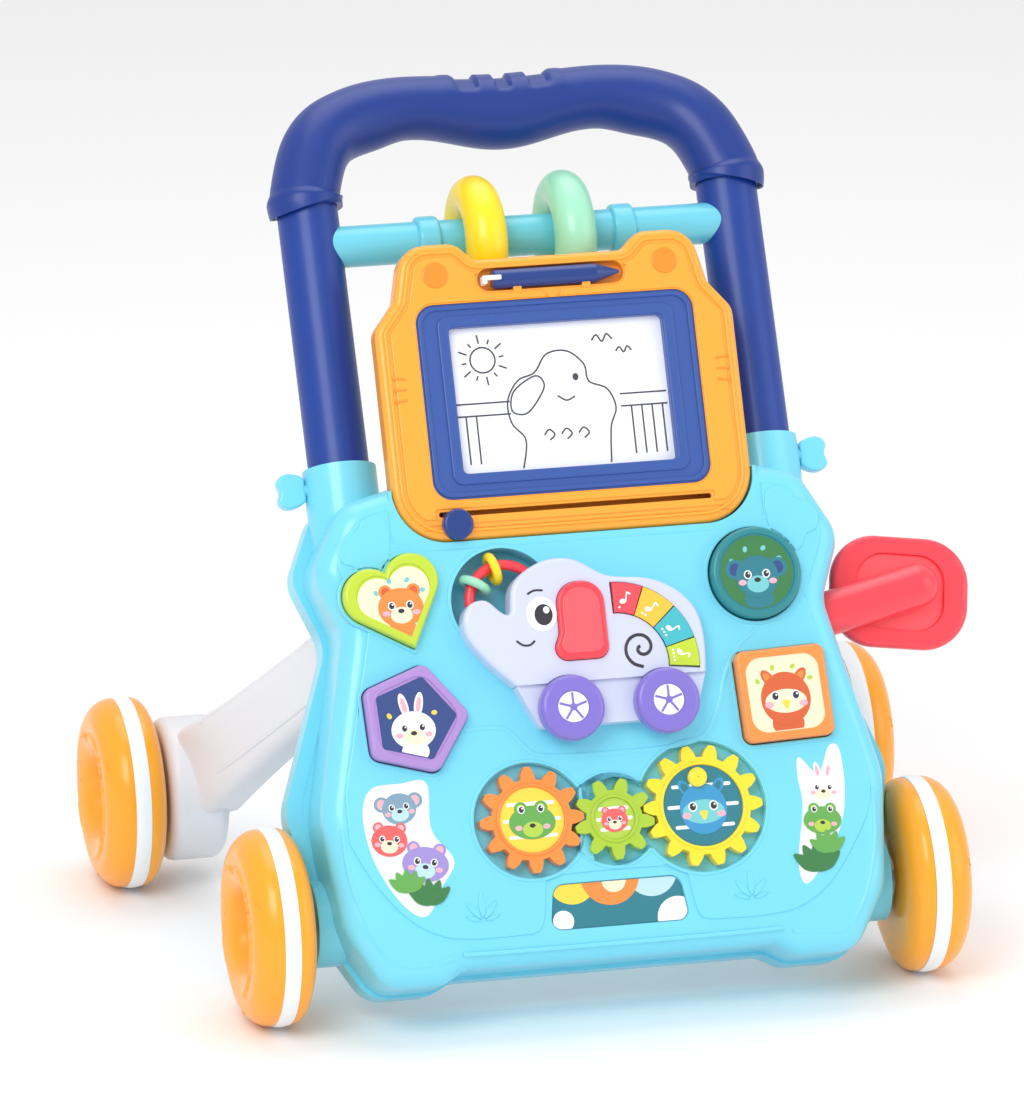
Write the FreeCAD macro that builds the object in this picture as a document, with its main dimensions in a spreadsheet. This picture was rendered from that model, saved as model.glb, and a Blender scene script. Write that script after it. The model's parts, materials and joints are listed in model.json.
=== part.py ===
"""Baby push walker with a play panel, a removable drawing board and a removable toy elephant.

World frame: +X to the right seen from the panel's front, -Y is the way the panel faces, +Z up.
The origin is on the floor under the middle of the bounding box.

Panel frame: most toys sit on the leaning face of the panel. Its origin lies on that face at the
height of the wheel axles, x runs across, y up the slope and z straight out of the face, towards
the child. Outlines and depths of everything on the panel are given in this frame.
"""
import FreeCAD, Part
import math
import os
import Sketcher

V = FreeCAD.Vector
X_AXIS, Y_AXIS, Z_AXIS = V(1, 0, 0), V(0, 1, 0), V(0, 0, 1)

doc = FreeCAD.newDocument("PushWalker")

# ---------------------------------------------------------------- driving dimensions (mm, degrees)
DIMENSIONS = {
    "axle_front_y": (-124.25, "front axle, behind the middle of the footprint"),
    "axle_height": (56.0, "centre of all four wheels above the floor"),
    "wheelbase": (253.8, "front axle to rear axle"),
    "front_track": (187.7, "middle of a front tyre band from the centre plane"),
    "rear_track": (217.4, "middle of a rear tyre band from the centre plane"),
    "lean": (25.9, "the panel's slope, degrees back from upright"),
    "face_ahead": (56.95, "panel face ahead of the front axle, at axle height"),
    "tyre_radius": (56.0, "outside of the tyre band"),
    "tyre_width": (9.0, "tyre band"),
    "tyre_depth": (5.8, "tyre band, outside to inside"),
    "wheel_crest": (21.5, "highest line of the ring-shaped outer shell from the band's middle"),
    "wheel_dome": (16.5, "middle of the inner dome from the band's middle"),
    "wheel_hole": (22.5, "mouth of the outer shell's central hole, radius"),
    "wheel_wall": (2.4, "wheel shells"),
    "axle_radius": (3.0, "steel axles"),
    "running_gap": (0.06, "wheel bore over axle, radial"),
    "front_depth": (44.0, "front shell, face to seam"),
    "back_depth": (24.0, "back shell, seam to back"),
    "face_round": (13.0, "rounding of the front shell's edge"),
    "back_round": (8.0, "rounding of the back shell's edge"),
    "shell_wall": (2.5, "both panel shells"),
    "pocket_depth": (6.0, "pockets that hold the four shape blocks"),
    "block_height": (14.0, "shape blocks, back to top"),
    "seat_gap": (0.6, "clearance round a piece that lifts out of its pocket"),
    "leg_radius": (17.4, "handle legs"),
    "core_radius": (15.5, "bar inside the grip sleeve"),
    "leg_spread": (123.0, "handle legs from the centre plane"),
    "grip_radius": (19.8, "grip sleeve"),
    "collar_radius": (21.8, "lip at each end of the grip sleeve"),
    "bar_radius": (11.85, "crossbar"),
    "bar_collar": (14.5, "raised collars on the crossbar"),
    "bar_ring_major": (26.5, "crossbar rings, middle of the tube"),
    "bar_ring_minor": (12.0, "crossbar rings, tube"),
    "socket_radius": (21.0, "sleeves on the back shell that take the legs"),
    "board_half": (104.0, "drawing board from its middle to its side"),
    "board_bottom": (227.0, "drawing board's lower edge up the slope"),
    "board_top": (386.0, "drawing board's upper edge between the ears"),
    "board_depth": (16.0, "drawing board, face to back"),
    "board_wall": (2.5, "drawing board's shell"),
    "block_gap": (0.3, "play between neighbouring loose pieces"),
    "gear_module": (4.5, "play gears"),
    "gear_height": (8.5, "play gears, back to top"),
    "boss_radius": (25.0, "round bosses beside the front wheels"),
    "drum_radius": (42.0, "drums at the end of the rear arms"),
    "paddle_tilt": (12.6, "paddle arm's rise up the slope, degrees"),
    "paddle_arm": (12.8, "paddle arm, radius"),
    "elephant_front": (14.0, "front of the elephant's upper shell above the face"),
    "toy_wheel_radius": (18.5, "elephant wheels"),
    "press_travel": (2.0, "travel of the keys and of the ear"),
}
sheet = doc.addObject("Spreadsheet::Sheet", "Dims")
for row, (alias, (value, note)) in enumerate(DIMENSIONS.items(), start=1):
    sheet.set(f"A{row}", note)
    sheet.set(f"B{row}", str(value))
    sheet.setAlias(f"B{row}", alias)
doc.recompute()


def dim(alias):
    """Value of one driving dimension, read back from the sheet."""
    return float(sheet.get(alias))


AXLE_Y = dim("axle_front_y")
AXLE_Z = dim("axle_height")
REAR_Y = AXLE_Y + dim("wheelbase")
PANEL = FreeCAD.Placement(
    V(0, AXLE_Y - dim("face_ahead"), AXLE_Z), FreeCAD.Rotation(X_AXIS, 90 - dim("lean")))
SEAM = -dim("front_depth")
PANEL_BACK = SEAM - dim("back_depth")
nodes = []


# ------------------------------------------------------------------------------ outline helpers
def on_panel(u, v, n, angle=0.0):
    """Placement at a point of the panel frame, turned about the face's normal."""
    return PANEL.multiply(FreeCAD.Placement(V(u, v, n), FreeCAD.Rotation(Z_AXIS, angle)))


def panel_point(u, v, n):
    """World position of a point of the panel frame."""
    return PANEL.multVec(V(u, v, n))


def mirrored(half):
    """Corners of a closed outline from its right half, listed from the bottom upwards."""
    return half + [(-x, y, radius) for x, y, radius in reversed(half)]


def smooth_curve(points, closed=False):
    """Smooth curve through a few points, paced by the distance between them."""
    ahead = points[1:] + points[:1] if closed else points[1:]
    pace = [0.0]
    for start, end in zip(points, ahead):
        pace.append(pace[-1] + (end - start).Length)
    curve = Part.BSplineCurve()
    curve.interpolate(Points=points, PeriodicFlag=closed, Parameters=pace)
    return curve


def smooth_loop(points):
    """Closed smooth outline through a few points."""
    return [smooth_curve([V(x, y, 0) for x, y in points], closed=True)]


def grow(corners, distance):
    """Corners (x, y, radius) of a rounded polygon, listed anticlockwise, moved outwards."""
    moved = []
    for index, (x, y, radius) in enumerate(corners):
        before = corners[index - 1]
        after = corners[(index + 1) % len(corners)]
        first = V(x - before[0], y - before[1], 0).normalize()
        second = V(after[0] - x, after[1] - y, 0).normalize()
        normal = V(first.y + second.y, -first.x - second.x, 0)
        shift = normal * (distance / (1 + first.dot(second)))
        turn = first.cross(second).z
        moved.append((x + shift.x, y + shift.y, max(radius + math.copysign(distance, turn), 0.3)))
    return moved


def rounded(corners):
    """Lines and arcs of a polygon whose corners (x, y, radius) are rounded."""
    cuts = []
    for index, (x, y, radius) in enumerate(corners):
        corner = V(x, y, 0)
        back = (V(*corners[index - 1][:2], 0) - corner).normalize()
        ahead = (V(*corners[(index + 1) % len(corners)][:2], 0) - corner).normalize()
        half = math.acos(max(-1.0, min(1.0, back.dot(ahead)))) / 2
        reach = radius / math.tan(half)
        middle = corner + (back + ahead).normalize() * (radius / math.sin(half) - radius)
        cuts.append((corner + back * reach, middle, corner + ahead * reach))
    geometry = []
    for index, (start, middle, end) in enumerate(cuts):
        following = cuts[(index + 1) % len(cuts)][0]
        geometry.append(Part.Arc(start, middle, end))
        if (following - end).Length > 1e-4:
            geometry.append(Part.LineSegment(end, following))
    return geometry


def rectangle(x_low, x_high, y_low, y_high, radius):
    """Corners of a rounded rectangle, anticlockwise."""
    return [(x_low, y_low, radius), (x_high, y_low, radius),
            (x_high, y_high, radius), (x_low, y_high, radius)]


def circle(x, y, radius):
    """A full circle."""
    return [Part.Circle(V(x, y, 0), Z_AXIS, radius)]


# ----------------------------------------------------------------------------- document helpers
def make_body(label, placement):
    """A body that will be one sub-part."""
    body = doc.addObject("PartDesign::Body", label)
    body.Label = label
    body.Placement = placement
    nodes.append(body)
    return body


def add_sketch(body, geometry, height=0.0, role="XY_Plane"):
    """A sketch on one of the body's own planes, lifted along the plane's normal."""
    sketch = body.newObject("Sketcher::SketchObject", body.Label + "_sketch")
    plane = next(item for item in body.Origin.OriginFeatures if item.Role == role)
    sketch.AttachmentSupport = [(plane, "")]
    sketch.MapMode = "FlatFace"
    sketch.AttachmentOffset = FreeCAD.Placement(V(0, 0, height), FreeCAD.Rotation())
    sketch.addGeometry(geometry, False)
    return sketch


def add_pad(body, geometry, length, height=0.0, down=False):
    """Grow material from an outline: length is an expression over the sheet."""
    pad = body.newObject("PartDesign::Pad", body.Label + "_pad")
    pad.Profile = add_sketch(body, geometry, height)
    pad.setExpression("Length", length)
    pad.Reversed = down
    doc.recompute()
    return pad


def add_pocket(body, geometry, length, height=0.0, up=False):
    """Cut an outline down from a height, or up from it; the cut must meet the solid."""
    solid = body.Tip.Shape.copy()
    pocket = body.newObject("PartDesign::Pocket", body.Label + "_pocket")
    pocket.Profile = add_sketch(body, geometry, height)
    pocket.setExpression("Length", length)
    pocket.Reversed = up
    doc.recompute()
    if pocket.AddSubShape.common(solid).Volume < 0.5:
        raise ValueError(f"{body.Label}: a pocket cuts nothing")
    return pocket


def edges_at(shape, height):
    """Names of the edges that lie flat at one height."""
    return [f"Edge{index}" for index, edge in enumerate(shape.Edges, start=1)
            if abs(edge.BoundBox.ZMin - height) < 1e-4 and abs(edge.BoundBox.ZMax - height) < 1e-4]


def add_fillet(body, feature, heights, radius):
    """Round the flat edges at the given heights; radius is an expression over the sheet."""
    fillet = body.newObject("PartDesign::Fillet", body.Label + "_round")
    fillet.Base = (feature, [name for height in heights for name in edges_at(feature.Shape, height)])
    fillet.setExpression("Radius", radius)
    doc.recompute()
    return fillet


def add_revolution(body, geometry):
    """Turn a half section, drawn in the body's XY plane, about the body's X axis."""
    sketch = add_sketch(body, geometry)
    turned = body.newObject("PartDesign::Revolution", body.Label + "_turn")
    turned.Profile = sketch
    turned.ReferenceAxis = (sketch, ["H_Axis"])
    turned.Angle = 360.0
    doc.recompute()
    return turned


def add_shape(label, shape, placement=FreeCAD.Placement()):
    """A sub-part whose shape is worked out with Part's own functions."""
    feature = doc.addObject("Part::Feature", label)
    feature.Label = label
    feature.Shape = shape
    feature.Placement = placement
    nodes.append(feature)
    return feature


def polyline(points):
    """Closed straight outline in the XY plane."""
    corners = [V(x, y, 0) for x, y in points]
    return [Part.LineSegment(start, end) for start, end in zip(corners, corners[1:] + corners[:1])]


def straight_bar(start, end, radius):
    """Round bar between two world points."""
    along = end - start
    return Part.makeCylinder(radius, along.Length, start, along)


# --------------------------------------------------------------------------------- panel shells
FRONT_HALF = [
    (90, -12.5, 12), (102, -20, 18), (136, -20, 18), (157, 15, 40), (163, 78, 60), (139.5, 180, 25),
    (153, 216, 22), (133, 253, 20), (98, 262, 20)]
BACK_HALF = [
    (90, -14.7, 10), (103, -21.5, 16), (138, -21.5, 18), (163, 20, 40), (175, 88, 30), (142, 178, 25),
    (158, 218, 20), (140, 258, 18)]
HEART_AT, HEART_TURN = (-108.5, 189.3), 17.0
PENTAGON_AT, PENTAGON_TURN = (-107.5, 127.5), 2.0
ROUND_AT, ROUND_RADIUS = (98.0, 195.5), 26.0
SQUARE_AT, SQUARE_TURN = (106.6, 126.1), 2.0
SQUARE = [(-26, -26, 5), (26, -26, 5), (26, 26, 5), (-26, 26, 5)]
RING_WELL_AT, RING_WELL_RADIUS, RING_WELL_DEPTH = (-48.0, 191.0), 30.0, 15.0
GEARS = {"gear_left": (-46.0, 66.5, 12), "gear_middle": (1.15, 63.5, 9), "gear_right": (52.8, 66.8, 14)}
GEAR_WELL_DEPTH, GEAR_PIN_RADIUS = 4.0, 4.0
WINDOW = [(-41, 4, 6), (40, 4, 6), (36, 30, 7), (-37, 30, 7)]
LABEL_DEPTH = 1.5
LEG_LOW, LEG_HIGH = V(0, 278.5, -45.3), V(0, 442.0, -56.8)
LEG_FOOT, LEG_MOUTH, LEG_TOP = 236.0, 279.0, 430.0
PADDLE_ROOT = (140.0, 172.5, -30.0)
KNOB_HEIGHT = 268.0


def heart_outline(extra=0.0):
    """Two round lobes joined to a point, drawn upright about the middle of its axis."""
    lobe_x, lobe_y, radius, tip = 12.5, 13.3, 15.5 + extra, -22.5 - 1.45 * extra
    notch = V(0, lobe_y + math.sqrt(radius ** 2 - lobe_x ** 2), 0)
    to_tip = V(-lobe_x, tip - lobe_y, 0)
    angle = math.atan2(to_tip.y, to_tip.x) + math.acos(radius / to_tip.Length)
    touch = V(lobe_x + radius * math.cos(angle), lobe_y + radius * math.sin(angle), 0)
    crown = V(lobe_x + radius * math.cos(1.0), lobe_y + radius * math.sin(1.0), 0)
    flip = [V(-point.x, point.y, 0) for point in (notch, crown, touch)]
    point = V(0, tip, 0)
    return [Part.Arc(notch, crown, touch), Part.LineSegment(touch, point),
            Part.LineSegment(point, flip[2]), Part.Arc(flip[2], flip[1], flip[0])]


def pentagon_corners():
    """Regular pentagon with rounded corners, one of them pointing along +X."""
    angles = [math.radians(72 * side) for side in range(5)]
    return [(32.5 * math.cos(angle), 32.5 * math.sin(angle), 6.0) for angle in angles]


def board_corners():
    """Drawing board's outline: two ears, rounded shoulders and large lower corners."""
    side, low, top = dim("board_half"), dim("board_bottom"), dim("board_top")
    half = [(side, low, 30), (side, top - 37, 12), (side - 13, top - 21, 5), (side - 20, top + 10, 17),
            (side - 51, top + 10, 12), (side - 61, top, 8)]
    return mirrored(half)


def turned(geometry, at, angle=0.0, size=1.0):
    """Outline geometry scaled, turned and moved to its place on the face."""
    matrix = FreeCAD.Placement(V(*at, 0), FreeCAD.Rotation(Z_AXIS, angle)).toMatrix()
    placed = [item.copy() for item in geometry]
    for item in placed:
        item.scale(V(0, 0, 0), size)
        item.transform(matrix)
    return placed


def leg_axis(side, v):
    """Panel-frame point on a handle leg's axis at a height up the slope."""
    share = (v - LEG_LOW.y) / (LEG_HIGH.y - LEG_LOW.y)
    return V(side * dim("leg_spread"), v, LEG_LOW.z + share * (LEG_HIGH.z - LEG_LOW.z))


def wells(extra):
    """Outlines and depths of everything sunk in the face, grown for the cups that line them."""
    gap = dim("seat_gap") + extra
    pentagon = rounded(grow(pentagon_corners(), gap))
    holes = [
        (turned(heart_outline(gap), HEART_AT, HEART_TURN), "Dims.pocket_depth"),
        (turned(pentagon, PENTAGON_AT, PENTAGON_TURN), "Dims.pocket_depth"),
        (circle(*ROUND_AT, ROUND_RADIUS + gap), "Dims.pocket_depth"),
        (turned(rounded(grow(SQUARE, gap)), SQUARE_AT, SQUARE_TURN), "Dims.pocket_depth"),
        (circle(*RING_WELL_AT, RING_WELL_RADIUS + extra), f"{RING_WELL_DEPTH}")]
    for x, y, teeth in GEARS.values():
        radius = dim("gear_module") * (teeth / 2 + 0.65) + 2.2 + extra
        holes.append((circle(x, y, radius), f"{GEAR_WELL_DEPTH}"))
    return holes


def board_seat(extra):
    """Lower part of the drawing board's outline, grown for its nest in the panel's top."""
    side = dim("board_half") + dim("seat_gap") + extra
    low = dim("board_bottom") - dim("seat_gap") - extra
    return [(-side, low, 30 + extra), (side, low, 30 + extra)]


def drill(body, kind, radius, start, end):
    """Add or cut a round bar between two points of the body's frame; radius is an expression."""
    along = end - start
    bar = body.newObject(f"PartDesign::{kind}Cylinder", body.Label + "_bar")
    bar.setExpression("Radius", radius)
    bar.Height = along.Length
    bar.Placement = FreeCAD.Placement(start, FreeCAD.Rotation(Z_AXIS, along))
    doc.recompute()


def make_panel_front():
    """Hollow front shell: rounded edge, lined wells for the toys, gear pins, paddle hole."""
    outline = mirrored(FRONT_HALF)
    body = make_body("panel_front", PANEL)
    pad = add_pad(body, rounded(outline), "Dims.front_depth", down=True)
    add_fillet(body, pad, [0.0], "Dims.face_round")
    add_pocket(body, rounded(grow(outline, -dim("shell_wall"))),
               "Dims.front_depth - Dims.face_round - 3", SEAM, up=True)
    add_pocket(body, rounded(grow(outline, 3.1 - dim("face_round"))),
               "Dims.front_depth - Dims.shell_wall", SEAM, up=True)
    for geometry, depth in wells(2.0):
        add_pad(body, geometry, f"{depth} + 1.5", -0.5, down=True)
    for geometry, depth in wells(0.0):
        add_pocket(body, geometry, depth)
    cup = board_seat(2.0)
    cup += [(cup[1][0], 257.8, 0.8), (cup[0][0], 257.8, 0.8)]
    add_pad(body, rounded(cup), "Dims.board_depth + 2", -1.0, down=True)
    nest = board_seat(0.0)
    nest += [(nest[1][0], 275, 1), (nest[0][0], 275, 1)]
    add_pocket(body, rounded(nest), "Dims.board_depth + Dims.block_gap")
    add_pocket(body, rounded(WINDOW), f"{LABEL_DEPTH}")
    for x, y, _ in GEARS.values():
        add_pad(body, circle(x, y, GEAR_PIN_RADIUS), "7", -GEAR_WELL_DEPTH)
    axle = PANEL.inverse().multVec(V(0, AXLE_Y, AXLE_Z))
    for side in (-1, 1):
        across = V(side, 0, 0)
        drill(body, "Subtractive", "Dims.socket_radius + 0.1", leg_axis(side, 225), leg_axis(side, 300))
        drill(body, "Subtractive", "Dims.boss_radius + 0.1", axle + across * 145.9, axle + across * 180)
    tilt = math.radians(dim("paddle_tilt"))
    along = V(math.cos(tilt), math.sin(tilt), 0)
    root = V(*PADDLE_ROOT)
    drill(body, "Subtractive", "Dims.paddle_arm + Dims.block_gap", root - along * 11, root + along * 20)


def make_panel_back():
    """Hollow back shell with the leg sockets and the bosses beside the front wheels."""
    outline = mirrored(BACK_HALF)
    body = make_body("panel_back", PANEL)
    pad = add_pad(body, rounded(outline), "Dims.back_depth", SEAM, down=True)
    add_fillet(body, pad, [PANEL_BACK], "Dims.back_round")
    add_pocket(body, rounded(grow(outline, -dim("back_round"))),
               "Dims.back_depth - Dims.shell_wall", SEAM)
    axle = PANEL.inverse().multVec(V(0, AXLE_Y, AXLE_Z))
    for side in (-1, 1):
        across = V(side, 0, 0)
        drill(body, "Additive", "Dims.boss_radius", axle + across * 146, axle + across * 166)
        drill(body, "Additive", "Dims.socket_radius", leg_axis(side, LEG_FOOT - 4), leg_axis(side, LEG_MOUTH))
        drill(body, "Subtractive", "Dims.leg_radius", leg_axis(side, LEG_FOOT), leg_axis(side, LEG_MOUTH + 9))
        knob = leg_axis(side, KNOB_HEIGHT)
        drill(body, "Subtractive", "4 + Dims.running_gap", knob, knob + across * 30)
    drill(body, "Subtractive", "Dims.axle_radius", axle - V(180, 0, 0), axle + V(180, 0, 0))


# ---------------------------------------------------------------------------------------- handle
def make_legs():
    """Two straight hollow legs that stand in the back shell's sockets and carry the grip."""
    for side, name in ((-1, "handle_leg_left"), (1, "handle_leg_right")):
        foot, top = leg_axis(side, LEG_FOOT), leg_axis(side, LEG_TOP)
        bore_start, bore_end = leg_axis(side, LEG_FOOT + 3), leg_axis(side, LEG_TOP - 3)
        tube = straight_bar(foot, top, dim("leg_radius"))
        add_shape(name, tube.cut(straight_bar(bore_start, bore_end, dim("leg_radius") - 2.8)), PANEL)


def grip_path():
    """Panel-frame wire of the bow: up from one leg's top, over in a smooth curve and down again."""
    half = [(112.5, 466, -64), (95, 480, -69.5), (62, 487.2, -73.5), (0, 485.5, -76)]
    left = [leg_axis(-1, LEG_TOP + rise) for rise in (0, 5, 10)] + [V(-u, v, n) for u, v, n in half]
    return smooth_curve(left + [V(-point.x, point.y, point.z) for point in reversed(left[:-1])])


def sweep(path, radius):
    """Round bar along a curve that stays close to the panel's slope."""
    start = path.value(path.FirstParameter)
    along = path.tangent(path.FirstParameter)[0]
    pipe = Part.BRepOffsetAPI.MakePipeShell(Part.Wire(path.toShape()))
    pipe.setBiNormalMode(V(0, LEG_LOW.z - LEG_HIGH.z, LEG_HIGH.y - LEG_LOW.y))
    pipe.add(Part.Wire(Part.Circle(start, along, radius).toShape()))
    pipe.build()
    pipe.makeSolid()
    return pipe.shape()


def make_grip():
    """Grip sleeve with lipped ends and finger notches, over a plain inner core."""
    path = grip_path()
    core = sweep(path, dim("core_radius"))
    sleeve = sweep(path, dim("grip_radius"))
    for side in (-1, 1):
        lip = straight_bar(leg_axis(side, LEG_TOP - 6), leg_axis(side, LEG_TOP + 5), dim("collar_radius"))
        sleeve = sleeve.fuse(lip)
    sleeve = sleeve.cut(core)
    for side in (-1, 1):
        leg = straight_bar(leg_axis(side, LEG_TOP - 9), leg_axis(side, LEG_TOP), dim("leg_radius"))
        sleeve = sleeve.cut(leg)
        core = core.cut(leg)
    add_shape("grip_core", core, PANEL)
    for middle, width in ((-22.5, 12.5), (0.0, 9.5), (22.5, 12.5)):
        corner = V(middle - width / 2, 485.5 + dim("core_radius") + 0.3, -110)
        sleeve = sleeve.cut(Part.makeBox(width, 30, 70, corner))
    add_shape("handle_grip", sleeve, PANEL)


BAR_AT = V(0, 407.0, -51.5)


def make_crossbar():
    """Bar between the legs with two collars that keep the rings apart from the ends."""
    bar = straight_bar(BAR_AT - V(119, 0, 0), BAR_AT + V(119, 0, 0), dim("bar_radius"))
    for side in (-1, 1):
        middle = BAR_AT + V(57.0 * side, 0, 0)
        collar = straight_bar(middle - V(6.5, 0, 0), middle + V(6.5, 0, 0), dim("bar_collar"))
        edges = [edge for edge in collar.Edges if edge.Length > 60]
        bar = bar.fuse(collar.makeFillet(2.2, edges))
    for side in (-1, 1):
        bar = bar.cut(straight_bar(leg_axis(side, 380), leg_axis(side, LEG_TOP), dim("leg_radius")))
    add_shape("crossbar", bar, PANEL)


def make_torus(label, major, minor, placement):
    """A ring whose own axis is the placement's Z; sizes are expressions over the sheet."""
    torus = doc.addObject("Part::Torus", label)
    torus.Label = label
    torus.setExpression("Radius1", major)
    torus.setExpression("Radius2", minor)
    torus.Placement = placement
    nodes.append(torus)


def make_bar_rings():
    """Two big rings hanging on the crossbar."""
    drop = dim("bar_ring_major") - dim("bar_ring_minor") - dim("bar_radius") - 0.05
    centre = panel_point(*BAR_AT) - V(0, 0, drop)
    upright = FreeCAD.Rotation(Z_AXIS, X_AXIS)
    for label, x in (("crossbar_ring_yellow", -28.0), ("crossbar_ring_mint", 24.0)):
        place = FreeCAD.Placement(V(x, centre.y, centre.z), upright)
        make_torus(label, "Dims.bar_ring_major", "Dims.bar_ring_minor", place)


def make_knobs():
    """Wing knobs that lock the legs in their sockets: two lobes on a short shaft."""
    wing = [(0, -7), (5, -9.5), (11, -9.6), (14.8, -5.5), (13.6, 0), (14.8, 5.5),
            (11, 9.6), (5, 9.5), (0, 7), (-0.6, 0)]
    for side, name in ((-1, "wing_knob_left"), (1, "wing_knob_right")):
        seat = leg_axis(side, KNOB_HEIGHT) + V(side * (dim("socket_radius") + 1.3), 0, 0)
        turn = FreeCAD.Rotation(Y_AXIS, 0 if side > 0 else 180)
        body = make_body(name, PANEL.multiply(FreeCAD.Placement(seat, turn)))
        pad = add_pad(body, smooth_loop(wing), "9", -4.5)
        add_fillet(body, pad, [-4.5, 4.5], "1.5")
        drill(body, "Additive", "4", V(-4.2, 0, 0), V(6, 0, 0))


# ------------------------------------------------------------------------- rear arms and wheels
def make_rear_arms():
    """Arms that run from the panel's back out to the rear wheels and end in round drums."""
    for side, name in ((-1, "rear_arm_left"), (1, "rear_arm_right")):
        start = panel_point(side * 113, 181, PANEL_BACK)
        end = V(side * 180.5, REAR_Y, AXLE_Z)
        along = (end - start).normalize()
        across = along.cross(Z_AXIS).normalize()
        square = FreeCAD.Rotation(across, across.cross(along) * -1, -along, "ZXY")
        sections = [(on_panel(side * 113, 181, PANEL_BACK), 15, 24)]
        for share, half_width, half_height in ((0.45, 14.5, 22.5), (0.88, 17, 27)):
            sections.append((FreeCAD.Placement(start + (end - start) * share, square),
                             half_width, half_height))
        wires = []
        for placement, half_width, half_height in sections:
            corners = [(-half_width, -half_height, 9), (half_width, -half_height, 9),
                       (half_width, half_height, 9), (-half_width, half_height, 9)]
            wire = Part.Wire([edge.toShape() for edge in rounded(corners)])
            wire.Placement = placement
            wires.append(wire)
        arm = Part.makeLoft(wires, True)
        drum = straight_bar(V(side * 163, REAR_Y, AXLE_Z), V(side * 198, REAR_Y, AXLE_Z),
                            dim("drum_radius"))
        drum = drum.makeFillet(7, [edge for edge in drum.Edges if edge.Length > 200])
        stub = straight_bar(V(side * 166, REAR_Y, AXLE_Z), V(side * 200, REAR_Y, AXLE_Z),
                            dim("axle_radius"))
        add_shape(name, arm.fuse(drum).removeSplitter().cut(stub))


def make_axles():
    """Steel axles: one rod through the panel and a stub in each rear drum."""
    reach = dim("front_track") + 3
    rod = doc.addObject("Part::Cylinder", "front_axle")
    rod.Label = "front_axle"
    rod.setExpression("Radius", "Dims.axle_radius")
    rod.setExpression("Height", "2 * (Dims.front_track + 3)")
    rod.Placement = FreeCAD.Placement(V(-reach, AXLE_Y, AXLE_Z), FreeCAD.Rotation(Z_AXIS, X_AXIS))
    nodes.append(rod)
    stubs = [straight_bar(V(side * 166, REAR_Y, AXLE_Z), V(side * (dim("rear_track") + 3), REAR_Y, AXLE_Z),
                          dim("axle_radius")) for side in (-1, 1)]
    add_shape("rear_axles", Part.makeCompound(stubs))


def arc(*points):
    """Arc through three points of a half section."""
    return Part.Arc(*[V(x, y, 0) for x, y in points])


def line(start, end):
    """Straight stretch of a half section."""
    return Part.LineSegment(V(*start, 0), V(*end, 0))


def outer_shell_section():
    """Ring-shaped outer shell of a wheel: crest, central hole and the plate that holds the bore."""
    edge, crest, hole = dim("tyre_radius") - 1, dim("wheel_crest"), dim("wheel_hole")
    lip, wall = dim("tyre_width") / 2, dim("wheel_wall")
    bore = dim("axle_radius") + dim("running_gap")
    return [
        arc((lip, edge), (15.6, 51.6), (crest, 41.0)),
        arc((crest, 41.0), (crest - 1.0, 30.5), (16.0, hole)),
        line((16.0, hole), (lip, 16.5)),
        line((lip, 16.5), (lip, bore)),
        line((lip, bore), (lip - wall, bore)),
        line((lip - wall, bore), (lip - wall, 18.0)),
        line((lip - wall, 18.0), (lip, 19.0)),
        line((lip, 19.0), (14.2, hole + 2.3)),
        arc((14.2, hole + 2.3), (crest - 3.3, 31.5), (crest - wall, 40.4)),
        arc((crest - wall, 40.4), (13.9, 49.8), (lip, edge - wall)),
        line((lip, edge - wall), (lip, edge))]


def inner_shell_section():
    """Domed inner shell of a wheel with its hub tube and the collar that carries the tyre."""
    edge, dome, wall = dim("tyre_radius") - 1, dim("wheel_dome"), dim("wheel_wall")
    lip = dim("tyre_width") / 2
    collar = dim("tyre_radius") - dim("tyre_depth")
    bore = dim("axle_radius") + dim("running_gap")
    return [
        arc((-lip, edge), (-11.6, 40.0), (-dome, 14.0)),
        line((-dome, 14.0), (-dome, bore)),
        line((-dome, bore), (lip - wall, bore)),
        line((lip - wall, bore), (lip - wall, 7.0)),
        line((lip - wall, 7.0), (wall - dome, 7.0)),
        line((wall - dome, 7.0), (wall - dome, 14.0)),
        arc((wall - dome, 14.0), (-9.3, 38.6), (-lip + 0.6, collar - wall)),
        line((-lip + 0.6, collar - wall), (lip, collar - wall)),
        line((lip, collar - wall), (lip, collar)),
        line((lip, collar), (-lip, collar)),
        line((-lip, collar), (-lip, edge))]


def tyre_section():
    """Tyre band with a slightly crowned tread."""
    lip, top, low = dim("tyre_width") / 2, dim("tyre_radius"), dim("tyre_radius") - dim("tyre_depth")
    return [arc((-lip, top - 0.7), (0, top), (lip, top - 0.7)), line((lip, top - 0.7), (lip, low)),
            line((lip, low), (-lip, low)), line((-lip, low), (-lip, top - 0.7))]


def hub_cap_section():
    """Low round cap at the bottom of a rear wheel's hole."""
    base = dim("tyre_width") / 2
    return [line((base, 0), (base, 14.0)), line((base, 14.0), (base + 3, 14.0)),
            arc((base + 3, 14.0), (base + 6.4, 8.5), (base + 8, 2.0)), line((base + 8, 2.0), (base + 8, 0)),
            line((base + 8, 0), (base, 0))]


def make_wheels():
    """Four wheels, each an outer shell, an inner shell and a tyre; the rear ones have hub caps."""
    for end, y, track in (("front", AXLE_Y, "front_track"), ("rear", REAR_Y, "rear_track")):
        for side, hand in ((-1, "left"), (1, "right")):
            name = f"{end}_{hand}_wheel"
            turn = FreeCAD.Rotation(Z_AXIS, 0 if side > 0 else 180)
            place = FreeCAD.Placement(V(side * dim(track), y, AXLE_Z), turn)
            add_revolution(make_body(f"{name}_outer", place), outer_shell_section())
            add_revolution(make_body(f"{name}_inner", place), inner_shell_section())
            add_revolution(make_body(f"{name}_tyre", place), tyre_section())
            if end == "rear":
                add_revolution(make_body(f"{name}_cap", place), hub_cap_section())


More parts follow.
